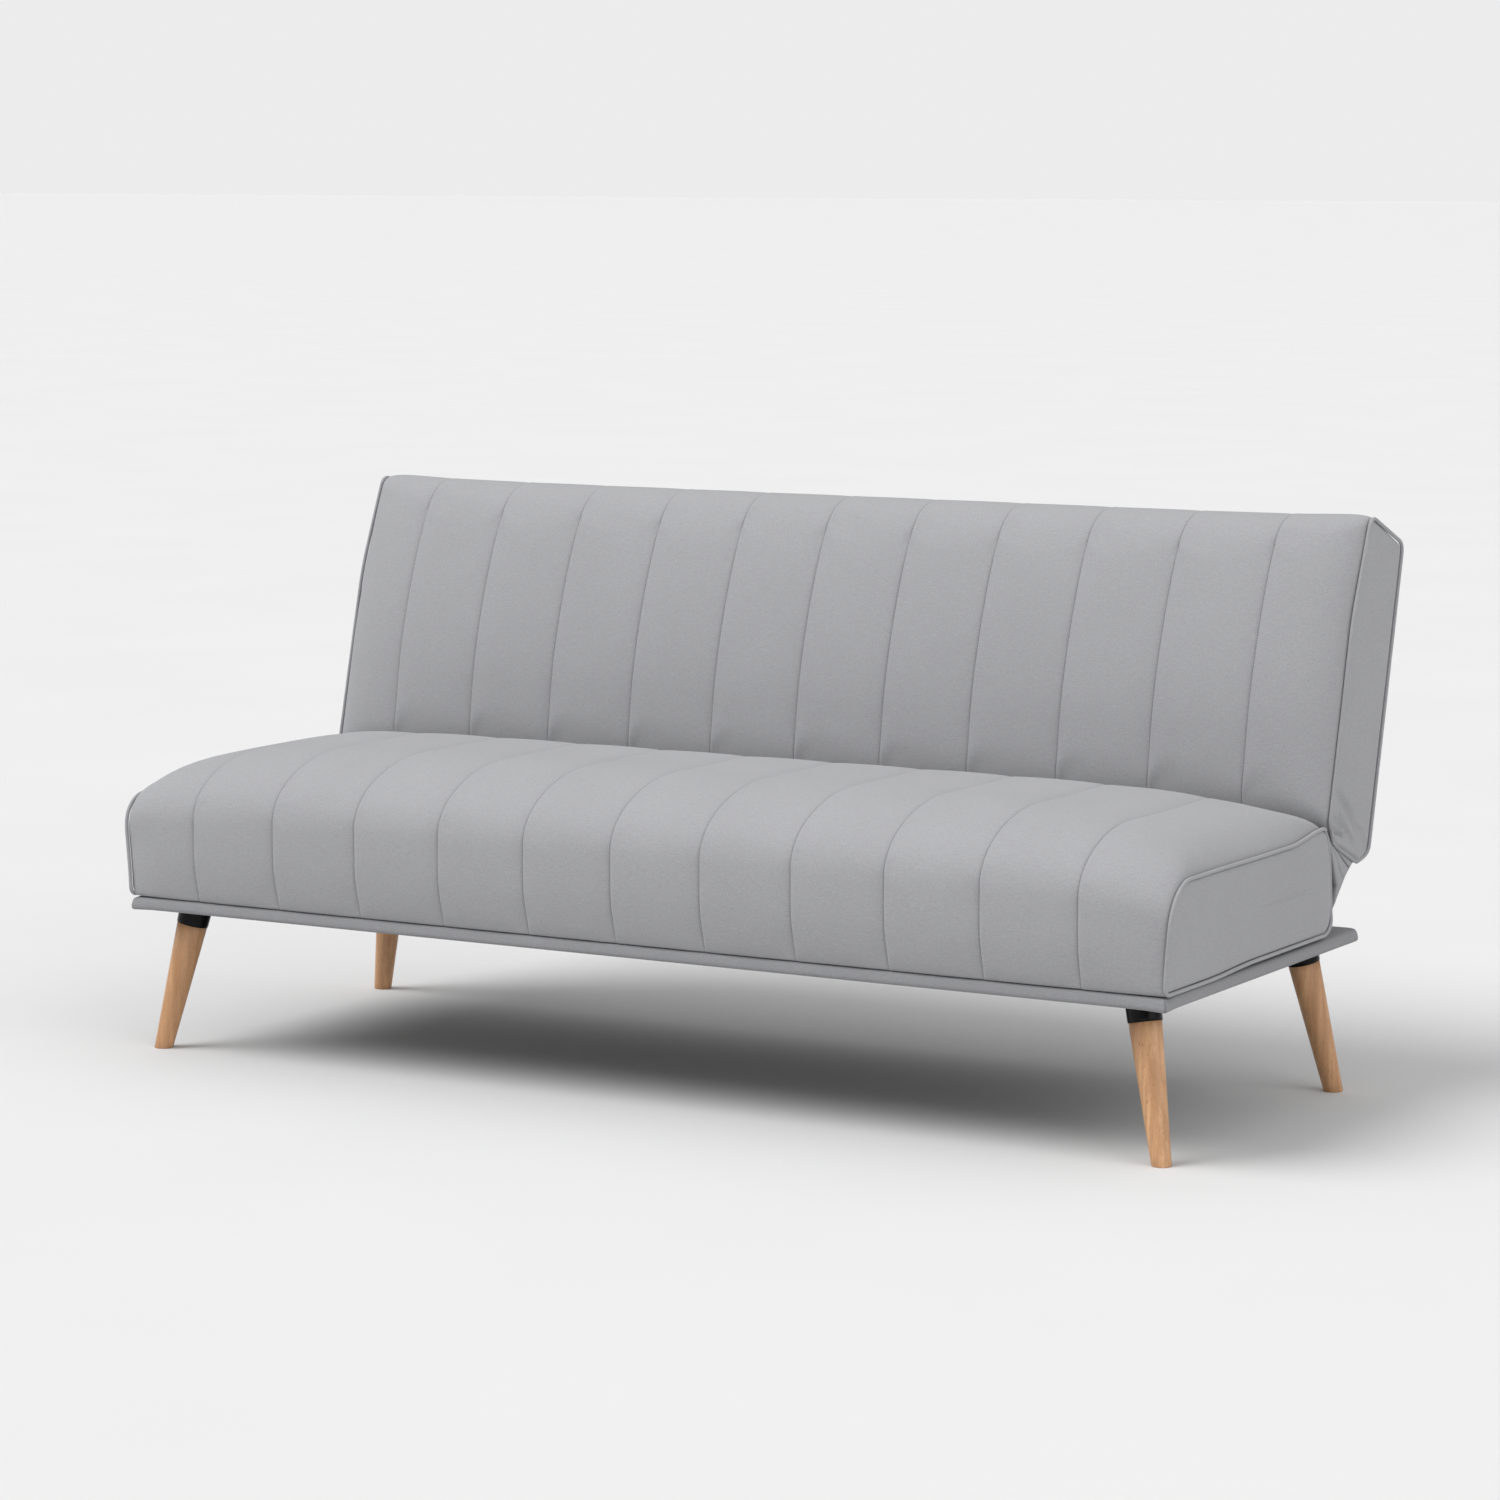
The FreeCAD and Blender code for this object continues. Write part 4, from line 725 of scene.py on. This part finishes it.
def seatFlare(spot, x):
    out = sum(within(seat[change], spot.x, spot.y - seat["low"]) for change in ("flare", "frontFlare"))
    return math.copysign(ramp(abs(x), seat["flareSpan"]) * out, x)


def seatWrinkle(at, share):
    rear = Vector(seatCorners()[2])
    reach = (at - rear).length
    height, rays, fade = seat["drag"]
    ripple = math.sin(rays * math.atan2(rear.y - at.y, rear.x - at.x) + 3 * reach)
    soft = noise.noise(Vector((at.x * 9, at.y * 14, 0.3)))
    return (height * ripple * math.exp(-reach / fade) + seat["soft"] * soft) * (1 - share ** 4)


def seatHidden(spot):
    (high, _), (low, _) = seatCorners()[2:]
    rise = (spot.y - seat["low"]) / seat["endHeight"]
    return within(seat["hide"], spot.x - low - (high - low) * rise, rise)


makeCushion("seat", "base", seat, seatForm, seatPlace, seatSettle, seatFlare)
makeEnds("seat", "base", seat, seatCorners, seatPlace, seatShift, seatWrinkle, seatHidden, seatFlare)
print("seat made")


back = {
    "rear": 0.116,
    "bottomRise": 0.007,
    "frontRise": 0.032,
    "endFront": 0.033,
    "kneeRise": 0.335,
    "topRise": 0.485,
    "topFront": 0.008,
    "topSlope": 0.018,
    "crown": 0.073,
    "crownPower": 8,
    "crownRise": 0.0245,
    "rearSlope": 0.004,
    "endRise": 0.005,
    "crownKnee": 0.284,
    "crownLow": 0.0455,
    "lowDrop": 0.010,
    "lowReach": (0.044, 0.070),
    "topCrown": 0.040,
    "topReach": (0.085, 0.095),
    "kneeRound": 0.128,
    "radii": (0.014, 0.440, 0.014, 0.014, 0.014),  # of the ends: low front, knee, top front, top rear, low rear
    "runs": (6, 8, 8, 24, 9),
    "turns": (12, 16, 16, 5, 5),
    "spine": (0.008, 0.16),
    "weights": ((0.4, 1.0, 1.0), (1.0, 1.0, 1.0), (1.0, 0.25, 0.25), (0.25, 0.0, 0.0), (0.0, 0.0, 0.4)),
    "endSpan": (0.80, 0.865),
    "sag": (-0.0155, ((-0.036, -0.001), (0.116, 0.082)), ((0.10, 0.03),)),  # sewn ends hang lower
    "hide": (1.0, ((-0.029, -0.009), (0.116, 0.096)), ((0.032, 0.020),)),  # the cord dives into its seam
    # begin and finish of each crease at the end (depth, rise), its half width and height, all in mm
    "creases": (
        ((-15, 89), (76, 46), 6, 4.4), ((-18, 77), (62, 36), 5, -2.2), ((-8, 54), (52, 25), 4.5, 4.2),
        ((-26, 46), (22, 28), 4.0, -3.0), ((-34, 27), (18, 25), 2.6, -4.6), ((-32, 34), (14, 31), 2.8, 3.4),
        ((-24, 18), (-10, 30), 2.6, -2.0), ((44, 66), (100, 24), 8, -2.6), ((14, 10), (80, 3), 5, 2.0),
    ),
    "soft": 0.0007,
}


def backPlace(x, spot):
    # depth behind the pin and rise along the leaning back
    depth, rise = spot
    return Vector((x, pivot.y + depth * math.cos(lean) + rise * math.sin(lean),
                   pivot.z - depth * math.sin(lean) + rise * math.cos(lean)))


def backCorners(grow=0.0):
    front, rear, high = -back["endFront"] - grow, back["rear"] + grow, back["topRise"] + back["endRise"] + grow
    return [
        (front, back["frontRise"] - grow), (front, back["kneeRise"]), (-back["topFront"] - grow, high),
        (rear, high - back["topSlope"]), (rear, back["bottomRise"] - grow),
    ]


def backForm(x):
    share = crownShare(x, back["crownPower"])
    high, front = back["topRise"], -back["endFront"]
    middle = [
        (front - back["crownLow"], back["frontRise"] - back["lowDrop"]),
        (front - back["crown"], back["crownKnee"]),
        (-back["topFront"] - back["topCrown"], high + back["crownRise"]),
        (back["rear"], high - back["rearSlope"]), (back["rear"], back["bottomRise"]),
    ]
    ends = backCorners()
    corners = mixPairs(ends, middle, share)
    full = math.sqrt(1 - (1 - share * share) ** 5)  # the top stays full almost to the end
    corners[2] = (corners[2][0], ends[2][1] + (middle[2][1] - ends[2][1]) * full)
    knee, plain = (back["kneeRound"],) * 2, (back["radii"][0],) * 2
    endReaches = [plain, knee, plain, plain, plain]
    middleReaches = [back["lowReach"], knee, back["topReach"], plain, plain]
    return corners, mixPairs(endReaches, middleReaches, share)


def backShift(spot, x):
    return Vector((0, ramp(abs(x), back["endSpan"]) * within(back["sag"], spot.x, spot.y)))


def backWrinkle(at, share):
    # drag lines and small creases round the lower front corner
    spot = at * 1000
    fold = 0.0
    for begin, finish, wide, high in back["creases"]:
        begin, finish = Vector(begin), Vector(finish)
        run = max(0.0, min(1.0, (spot - begin).dot(finish - begin) / (finish - begin).length_squared))
        fold += high * math.exp(-((spot - begin.lerp(finish, run)).length / wide) ** 2)
    soft = noise.noise(Vector((at.x * 12, at.y * 7, 4.1)))
    return 0.001 * fold * (1 - share ** 30) + back["soft"] * soft * (1 - share ** 4)


def backHidden(spot):
    return within(back["hide"], spot.x, spot.y)


makeCushion("back", "backrest", back, backForm, backPlace, backShift)
makeEnds("back", "backrest", back, backCorners, backPlace, backShift, backWrinkle, backHidden)
print("back made")


crease = {
    "thick": 0.0012,
    "gap": 0.0015,  # from the covers
    "stripOnSeat": 0.14,  # shares up the seat's rear and back along the back's bottom
    "stripOnBack": 0.76,
    "webOnSeat": (0.10, 0.95),
    "webOnBack": 0.11,
    "bow": (-0.004, 0.004),
    "gather": 0.0035,  # depth of the gathers
    "ease": 1.04,  # cloth cut longer than its place
    "inset": 0.003,  # end webs in from the cushion's end
    "stripGrid": (260, 14),
    "webGrid": (24, 104),
    "webCloth": 0.16,
    "webBend": ((0.572, 0.32), (0, 0.045, 0.012)),  # where the webs start to turn with the back, and how far
    # section of the folds at the ends: share across the web, mm out; flaps overhang the pockets
    "folds": (
        (0.0, 0.0), (0.012, -5), (0.045, -13), (0.13, -19), (0.25, -20), (0.34, -15), (0.315, -8), (0.28, -2),
        (0.262, 2.5), (0.285, 5.5), (0.36, 6.3), (0.44, 5.6), (0.49, 3.5), (0.515, -2), (0.545, -7), (0.54, -3),
        (0.515, 1), (0.53, 3.8), (0.62, 4.6), (0.72, 3.4), (0.785, 1), (0.81, -4), (0.825, -6), (0.815, -1.5),
        (0.83, 1.8), (0.90, 2.2), (0.96, 1), (1.0, 0.0),
    ),
}
creaseHalf = halfLength - crease["inset"]


def seatRearPoint(share):
    # up the seat's rear edge
    corners = seatForm(halfLength)[0]
    return Vector(corners[3]).lerp(Vector(corners[2]), share) + Vector((crease["gap"], 0))


def backLowPoint(share, x=0.0):
    # along the back's bottom edge, in the seat's outline space
    corners = backForm(halfLength)[0]
    spot = Vector(corners[0]).lerp(Vector(corners[4]), share)
    spot = spot + backShift(spot, x)
    world = backPlace(0, spot)
    return Vector((world.y - frontEdge, world.z - crease["gap"]))


stripLow, stripHigh = seatRearPoint(crease["stripOnSeat"]), backLowPoint(crease["stripOnBack"])
stripMiddle = (stripLow + stripHigh) / 2 + Vector(crease["bow"])


def stripPoint(share):
    # a parabola through three points is close enough for a bowed strip
    bow = stripMiddle - (stripLow + stripHigh) / 2
    return stripLow.lerp(stripHigh, share) + bow * 4 * share * (1 - share)


def doubledPiece(name, rows, columns, points, plan):
    # two layers of a grid of points, joined along their edges
    size, far = rows * columns, (rows - 1) * columns
    faces = gridFaces(rows, columns)
    faces += [face[::-1] for face in gridFaces(rows, columns, first=size)]
    edge = list(range(columns)) + [row * columns + columns - 1 for row in range(1, rows)]
    edge += [far + column for column in range(columns - 2, -1, -1)]
    edge += [row * columns for row in range(rows - 2, 0, -1)]
    faces += [(b, a, a + size, b + size) for a, b in zip(edge, edge[1:] + edge[:1])]
    return meshPiece(name, points, faces, gussetClothPaintedShade, plan, turnOut=True)


def stripPiece():
    across, around = crease["stripGrid"]
    points, plan = [], []
    for layer in (0, 1):
        for i in range(across + 1):
            x = -creaseHalf + 2 * creaseHalf * i / across
            ripple = noise.noise(Vector((x * 16, 0, 1.7))) + 0.6 * noise.noise(Vector((x * 43, 0, 5.1)))
            lower = backLowPoint(crease["stripOnBack"], x) - stripHigh
            for k in range(around + 1):
                share = k / around
                gather = crease["gather"] * ripple * math.sin(math.pi * share) ** 0.6
                spot = stripPoint(share) + lower * share + Vector((0.7, -0.7)) * gather
                points.append(seatPlace(x, spot + Vector((1, -1)) * (crease["thick"] * layer)))
                plan.append((x * 1.08, share * 0.13))
    piece = doubledPiece("crease_strip_cloth", across + 1, around + 1, points, plan)
    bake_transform(piece)
    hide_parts("crease_strip")


def webFold(u, v, side, full):
    # u from seat to back, v from the bottom up: a pocket behind the seat and flaps that meet low down
    folds = crease["folds"]
    last = len(folds) - 1
    k = min(int(u * last), last - 1)
    t = u * last - k
    before, a, b, after = (Vector(folds[max(0, min(last, k + step))]) for step in (-1, 0, 1, 2))
    square, cube = 2 * before - 5 * a + 4 * b - after, 3 * a - before - 3 * b + after
    at = 0.5 * (2 * a + (b - before) * t + square * t * t + cube * t ** 3)
    crumple = noise.noise(Vector((u * 7, v * 5, 2.2 + side)))
    crumple += 0.5 * noise.noise(Vector((u * 15, v * 11, 6.4 + side)))
    full = full * smooth(v / 0.1)
    return u + (at.x - u) * full, 0.001 * at.y * full + 0.001 * crumple * math.sin(math.pi * u)


def webPiece(sideName, side):
    # a folded fan that closes the wedge at one end
    rows, across = crease["webGrid"]
    begin, finish = crease["webOnSeat"]
    seatLine = [seatRearPoint(begin + (finish - begin) * k / rows) for k in range(rows + 1)]
    seatLine = [spot + seatShift(spot, halfLength) for spot in seatLine]
    bend, (begin, finish) = rows // 3, (crease["stripOnBack"], crease["webOnBack"])
    lower = backLowPoint(begin, halfLength) - stripHigh
    backLine = [stripPoint(k / bend) + lower * (k / bend) for k in range(bend + 1)]
    shares = [begin + (finish - begin) * k / (rows - bend) for k in range(1, rows - bend + 1)]
    backLine += [backLowPoint(share, halfLength) for share in shares]
    points, plan = [], []
    for layer in (0, 1):
        for k, (a, b) in enumerate(zip(seatLine, backLine)):
            spread = min(1.0, (b - a).length / 0.05)
            for i in range(across + 1):
                u, out = webFold(i / across, k / rows, side, spread)
                spot = a.lerp(b, u)
                points.append(seatPlace(side * (creaseHalf - 0.001 + out - crease["thick"] * layer), spot))
                plan.append(tuple(spot))
    piece = doubledPiece(f"end_web_cloth_{sideName}", rows + 1, across + 1, points, plan)
    spot, onward = crease["webBend"]
    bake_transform(piece)
    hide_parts(f"end_web_{sideName}")


stripPiece()
for sideName, side in sides:
    webPiece(sideName, side)
print("crease fabric made")


platform = {
    "frontRadius": 0.007,
    "rearRadius": 0.018,
    "leastRadius": 0.0015,
    "cornerSteps": 10,
    "runs": (60, 26),  # along the sofa, front to back
    "lip": 0.040,
    "board": 0.0012,  # how far the cloth on top lies over the board
    # inset and height above the underside, from the lip's inner edge round to the top
    "profile": [
        (0.0400, 0.0020), (0.0398, 0.0003), (0.0360, 0.0), (0.0220, 0.0002), (0.0100, 0.0), (0.0045, 0.0003),
        (0.0018, 0.0016), (0.0004, 0.0040), (0.0003, 0.0068), (0.0010, 0.0100), (0.0018, 0.0130),
        (0.0030, 0.0156), (0.0049, 0.0177), (0.0080, 0.0188), (0.0130, 0.0190), (0.0500, 0.0190),
    ],
    "edge": 0.045,  # how far in from the edge the cloth is uneven
    "uneven": 0.0004,
    "mitre": 0.0022,  # how far the corner seam is drawn in
    "mitreSteps": {5: 1.0, 4: -0.25, 6: -0.25},  # between two full edges
    "droop": 0.0022,  # the folded cloth hangs lower at the front corners
    "droopReach": 0.022,
    "droopInset": (0.024, 0.004),
    "pleat": 0.0007,  # and is pleated at the rear ones
}


def platformRing(inset):
    # front corners are tight, with the seam at their middle; rear ones are rounder
    low, high, steps = platformLow, platformHigh, platform["cornerSteps"]
    corners = []
    for x, y, kind, first in ((low.x, low.y, "frontRadius", 180), (high.x, low.y, "frontRadius", 270),
                              (high.x, high.y, "rearRadius", 0), (low.x, high.y, "rearRadius", 90)):
        least = platform["leastRadius"]
        radius = max(platform[kind] - inset, least)
        away = platform[kind] if inset < platform[kind] else inset + least
        centreX, centreY = x + math.copysign(away, -x), y + math.copysign(away, -y)
        corners.append([])
        for step in range(steps + 1):
            turn = math.radians(first + 90 / steps * step)
            spot = Vector((centreX + radius * math.cos(turn), centreY + radius * math.sin(turn)))
            corners[-1].append((spot, step, kind))
    ring = []
    for i, corner in enumerate(corners):
        ring += corner
        begin, finish, runs = corner[-1][0], corners[(i + 1) % 4][0][0], platform["runs"][i % 2]
        ring += [(begin.lerp(finish, step / runs), -1, "") for step in range(1, runs)]
    return ring


def wrapPoint(spot, step, kind, number):
    low, high, edge = platformLow, platformHigh, platform["edge"]
    inset, rise = platform["profile"][number]
    x, y, z = spot.x, spot.y, low.z + rise
    if not 0 < number < len(platform["profile"]) - 1:
        return x, y, z
    uneven = platform["uneven"] * max(0, noise.noise(Vector((x * 9, y * 9, rise * 60))))
    x, y = (x + uneven * ((x < low.x + edge) - (x > high.x - edge)),
            y + uneven * ((y < low.y + edge) - (y > high.y - edge)))
    if kind == "frontRadius":
        draw = platform["mitreSteps"].get(step, 0.0) * platform["mitre"]
        x -= math.copysign(draw, x) * 0.7
        y += draw * 0.7
    corner = math.hypot(max(0.0, high.x - abs(x)), max(0.0, y - low.y))
    droop = platform["droop"] * math.exp(-(corner / platform["droopReach"]) ** 1.3)
    z -= droop * ramp(inset, platform["droopInset"])
    if kind == "rearRadius" and number < 8:
        pleat = platform["pleat"] * math.sin(step * 2.1) * smooth((8 - number) / 5)
        z += pleat if number < 5 else 0
        x -= math.copysign(max(0, pleat), x)
    return x, y, z


def wrapPiece():
    profile = platform["profile"]
    points, plan = [], []
    for number, down in enumerate(runsAlong([Vector(spot) for spot in profile])):
        ring = platformRing(profile[number][0])
        for (spot, step, kind), run in zip(ring, runsAlong([spot for spot, _, _ in ring])):
            points.append(wrapPoint(spot, step, kind, number))
            plan.append((run, down))
    count, rim = len(ring), len(points)
    faces = gridFaces(len(profile), count, wrapped=True)
    faces.append(tuple(range(rim - count, rim)))
    for spot, _, _ in platformRing(platform["lip"]):  # the underside of the top, on the board
        points.append((spot.x, spot.y, platformHigh.z - platform["board"]))
        plan.append((spot.x, spot.y))
    faces.append(tuple(range(rim, rim + count))[::-1])
    faces += [(i, rim + i, rim + (i + 1) % count, (i + 1) % count) for i in range(count)]
    piece = meshPiece("platform_cover", points, faces, platformClothPaintedShade, plan, turnOut=True)
    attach(piece, "base")
    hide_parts("platform_wrap")


wrapPiece()
print("platform made")


leg = {
    "footInset": (0.0263, 0.0462, 0.0361),  # side, front, rear
    "lean": (0.045, 0.030),
    "footRadius": 0.01405,
    "topRadius": 0.0234,
    "bevel": 0.0012,
    "collar": 0.030,
    "collarRadius": 0.0244,
    "flare": 0.0012,
    "sunk": 0.0018,  # the collar's top in the platform's cloth
    "levelReach": (0.03, 0.016),  # how far up the foot and down the collar the level cuts tell
    "sides": 40,
}
legRows = (
    ("front", platformLow.y + leg["footInset"][1], leg["lean"][1]),
    ("rear", platformHigh.y - leg["footInset"][2], -leg["lean"][1]),
)
footSide = platformHigh.x - leg["footInset"][0]


def turnedPiece(name, foot, axis, rings, material, cut):
    # rings are (distance up the axis, radius); the cut, (height, distance, reach), levels one end
    side = axis.cross(Vector((0, 1, 0))).normalized()
    front, count = axis.cross(side), leg["sides"]
    height, end, reach = cut
    points, plan = [], []
    for along, radius in rings:
        for step, spot in enumerate(circle(foot + axis * along, side, front, radius, count)):
            slide = (height + (along - end) * axis.z - spot.z) / axis.z
            points.append(spot + axis * slide * smooth(1 - abs(along - end) / reach))
            plan.append((along, 2 * math.pi * radius * step / count))
    faces = gridFaces(len(rings), count, wrapped=True)
    faces += [tuple(range(count))[::-1], tuple(range(len(points) - count, len(points)))]
    return meshPiece(name, points, faces, material, plan, turnOut=True)


def makeLeg(corner, foot, axis):
    length = axis.length
    axis.normalize()
    bare = length - leg["collar"]
    low, high, bevel = leg["footRadius"], leg["topRadius"], leg["bevel"]
    taper = (high - low) / bare
    rings = [(0.0, low - bevel), (bevel * 0.35, low - bevel * 0.3), (bevel, low + taper * bevel)]
    rings += [(bare * k / 14, low + taper * bare * k / 14) for k in range(1, 14)]
    rings += [(bare - 0.0008, high - 0.0001), (bare - 0.0002, high - 0.0007)]
    shaft = turnedPiece(f"leg_shaft_{corner}", foot, axis, rings, beech, (0, 0, leg["levelReach"][0]))
    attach(shaft, "base")
    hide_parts(f"leg_{corner}")
    radius, flare = leg["collarRadius"], leg["flare"]
    rings = [(bare - 0.0002, radius - 0.0012), (bare, radius - 0.0004), (bare + 0.0008, radius)]
    rings += [(bare + leg["collar"] * k / 6, radius + flare * k / 6) for k in range(1, 7)]
    rings.append((length + leg["sunk"], radius + flare))
    cut = (platformLow.z + leg["sunk"], length + leg["sunk"], leg["levelReach"][1])
    ring = turnedPiece(f"leg_collar_{corner}", foot, axis, rings, collarPlastic, cut)
    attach(ring, "base")
    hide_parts(f"collar_{corner}")


for rowName, footY, inward in legRows:
    for sideName, side in sides:
        foot = Vector((side * footSide, footY, 0))
        makeLeg(f"{rowName}_{sideName}", foot, Vector((-side * leg["lean"][0], inward, platformLow.z)))
print("legs made")


underside = {"thick": 0.0005, "legGap": 0.0286, "steps": 40}


def dustSheet():
    # a flat cloth with a hole round each leg
    low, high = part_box("underside_cloth")
    curve = bpy.data.curves.new("dustOutline", "CURVE")
    curve.dimensions = "2D"
    curve.fill_mode = "BOTH"
    steps, gap = underside["steps"], underside["legGap"]
    outer = [(low.x, low.y), (high.x, low.y), (high.x, high.y), (low.x, high.y)]
    loops = [[(a[0] + (b[0] - a[0]) * k / steps, a[1] + (b[1] - a[1]) * k / steps)
              for a, b in zip(outer, outer[1:] + outer[:1]) for k in range(steps)]]
    for way in (-1, 1):
        for _, footY, inward in legRows:
            centre = Vector((way * (footSide - leg["lean"][0]), footY + inward))
            turns = [t * math.pi / 18 for t in range(36)]
            loops.append([(centre.x + gap * math.cos(turn), centre.y + gap * math.sin(turn)) for turn in turns])
    for loop in loops:
        spline = curve.splines.new("POLY")
        spline.points.add(len(loop) - 1)
        for point, (x, y) in zip(spline.points, loop):
            point.co = (x, y, 0, 1)
        spline.use_cyclic_u = True
    curve.extrude = underside["thick"] / 2
    holder = bpy.data.objects.new("dustOutline", curve)
    bpy.context.collection.objects.link(holder)
    mesh = bpy.data.meshes.new_from_object(holder.evaluated_get(bpy.context.evaluated_depsgraph_get()))
    bpy.data.objects.remove(holder)
    mesh.name = "dust_sheet"
    mesh.transform(Matrix.Translation((0, 0, (low.z + high.z) / 2)))
    layer = mesh.uv_layers.new(name="weave")
    for loop in mesh.loops:
        layer.data[loop.index].uv = mesh.vertices[loop.vertex_index].co.xy
    mesh.materials.clear()
    mesh.materials.append(dustCloth)
    piece = bpy.data.objects.new("dust_sheet", mesh)
    bpy.context.collection.objects.link(piece)
    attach(piece, "base")
    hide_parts("underside_cloth")


dustSheet()
print("underside made")


# the frame's own nodes, by the finish they come with
nodeFinish = {
    "plywood": plywood, "frame_wood": frameWood, "elastic": elasticWeb,
    "spacer_plastic": spacerPlastic, "zinc_steel": zincSteel, "hinge_steel": hingeSteel,
}
for node in frame["nodes"].values():
    for slot in node.material_slots:
        slot.material = nodeFinish.get(slot.material.name, slot.material)
print("frame and hinges finished")


room = {
    "floor": 0.67,
    "floorReach": 120,
    # heights on the world's sphere, and how bright it is there
    "world": ((0.07, 0.84), (0.16, 0.175), (1.0, 0.90)),
    "key": {"from": (-0.47, -0.42, 0.775), "power": 2.27, "softness": 40},
    "fill": {"from": (0.88, -0.20, 0.43), "power": 1.05, "softness": 60},
}


def makeRoom():
    world = bpy.data.worlds.new("studio")
    world.use_nodes = True
    tree = world.node_tree
    height = addNode(tree, "SeparateXYZ", {"Vector": addNode(tree, "TexCoord", {}, "Generated")}, "Z")
    shade = addNode(tree, "ValToRGB", {"Fac": height}, "Color")
    stops = shade.node.color_ramp.elements
    for stop, (place, bright) in zip((stops[0], stops.new(0.5), stops[-1]), room["world"]):
        stop.position = place
        stop.color = (bright, bright, bright, 1)
    feed(tree, tree.nodes["Background"].inputs["Color"], shade)
    bpy.context.scene.world = world
    for lightName in ("key", "fill"):
        settings = room[lightName]
        light = bpy.data.lights.new(lightName, "SUN")
        light.energy = settings["power"]
        light.angle = math.radians(settings["softness"])
        lamp = bpy.data.objects.new(lightName, light)
        lamp.rotation_euler = (-Vector(settings["from"])).to_track_quat("-Z", "Y").to_euler()
        bpy.context.collection.objects.link(lamp)
    material, tree = newMaterial("paleFloor")
    tone = grain(tree, placed(tree, (1, 1, 1)), 1.5, 2)
    pale, reach = room["floor"], room["floorReach"]
    finishWith(tree, {"Base Color": mixColour(tree, tone, (0.985 * pale,) * 3, (pale,) * 3), "Roughness": 0.8})
    corners = [(-reach, -reach, 0), (reach, -reach, 0), (reach, reach, 0), (-reach, reach, 0)]
    floor = meshPiece("floor", corners, [(0, 1, 2, 3)], material)
    bpy.context.scene.view_settings.view_transform = "Standard"


makeRoom()
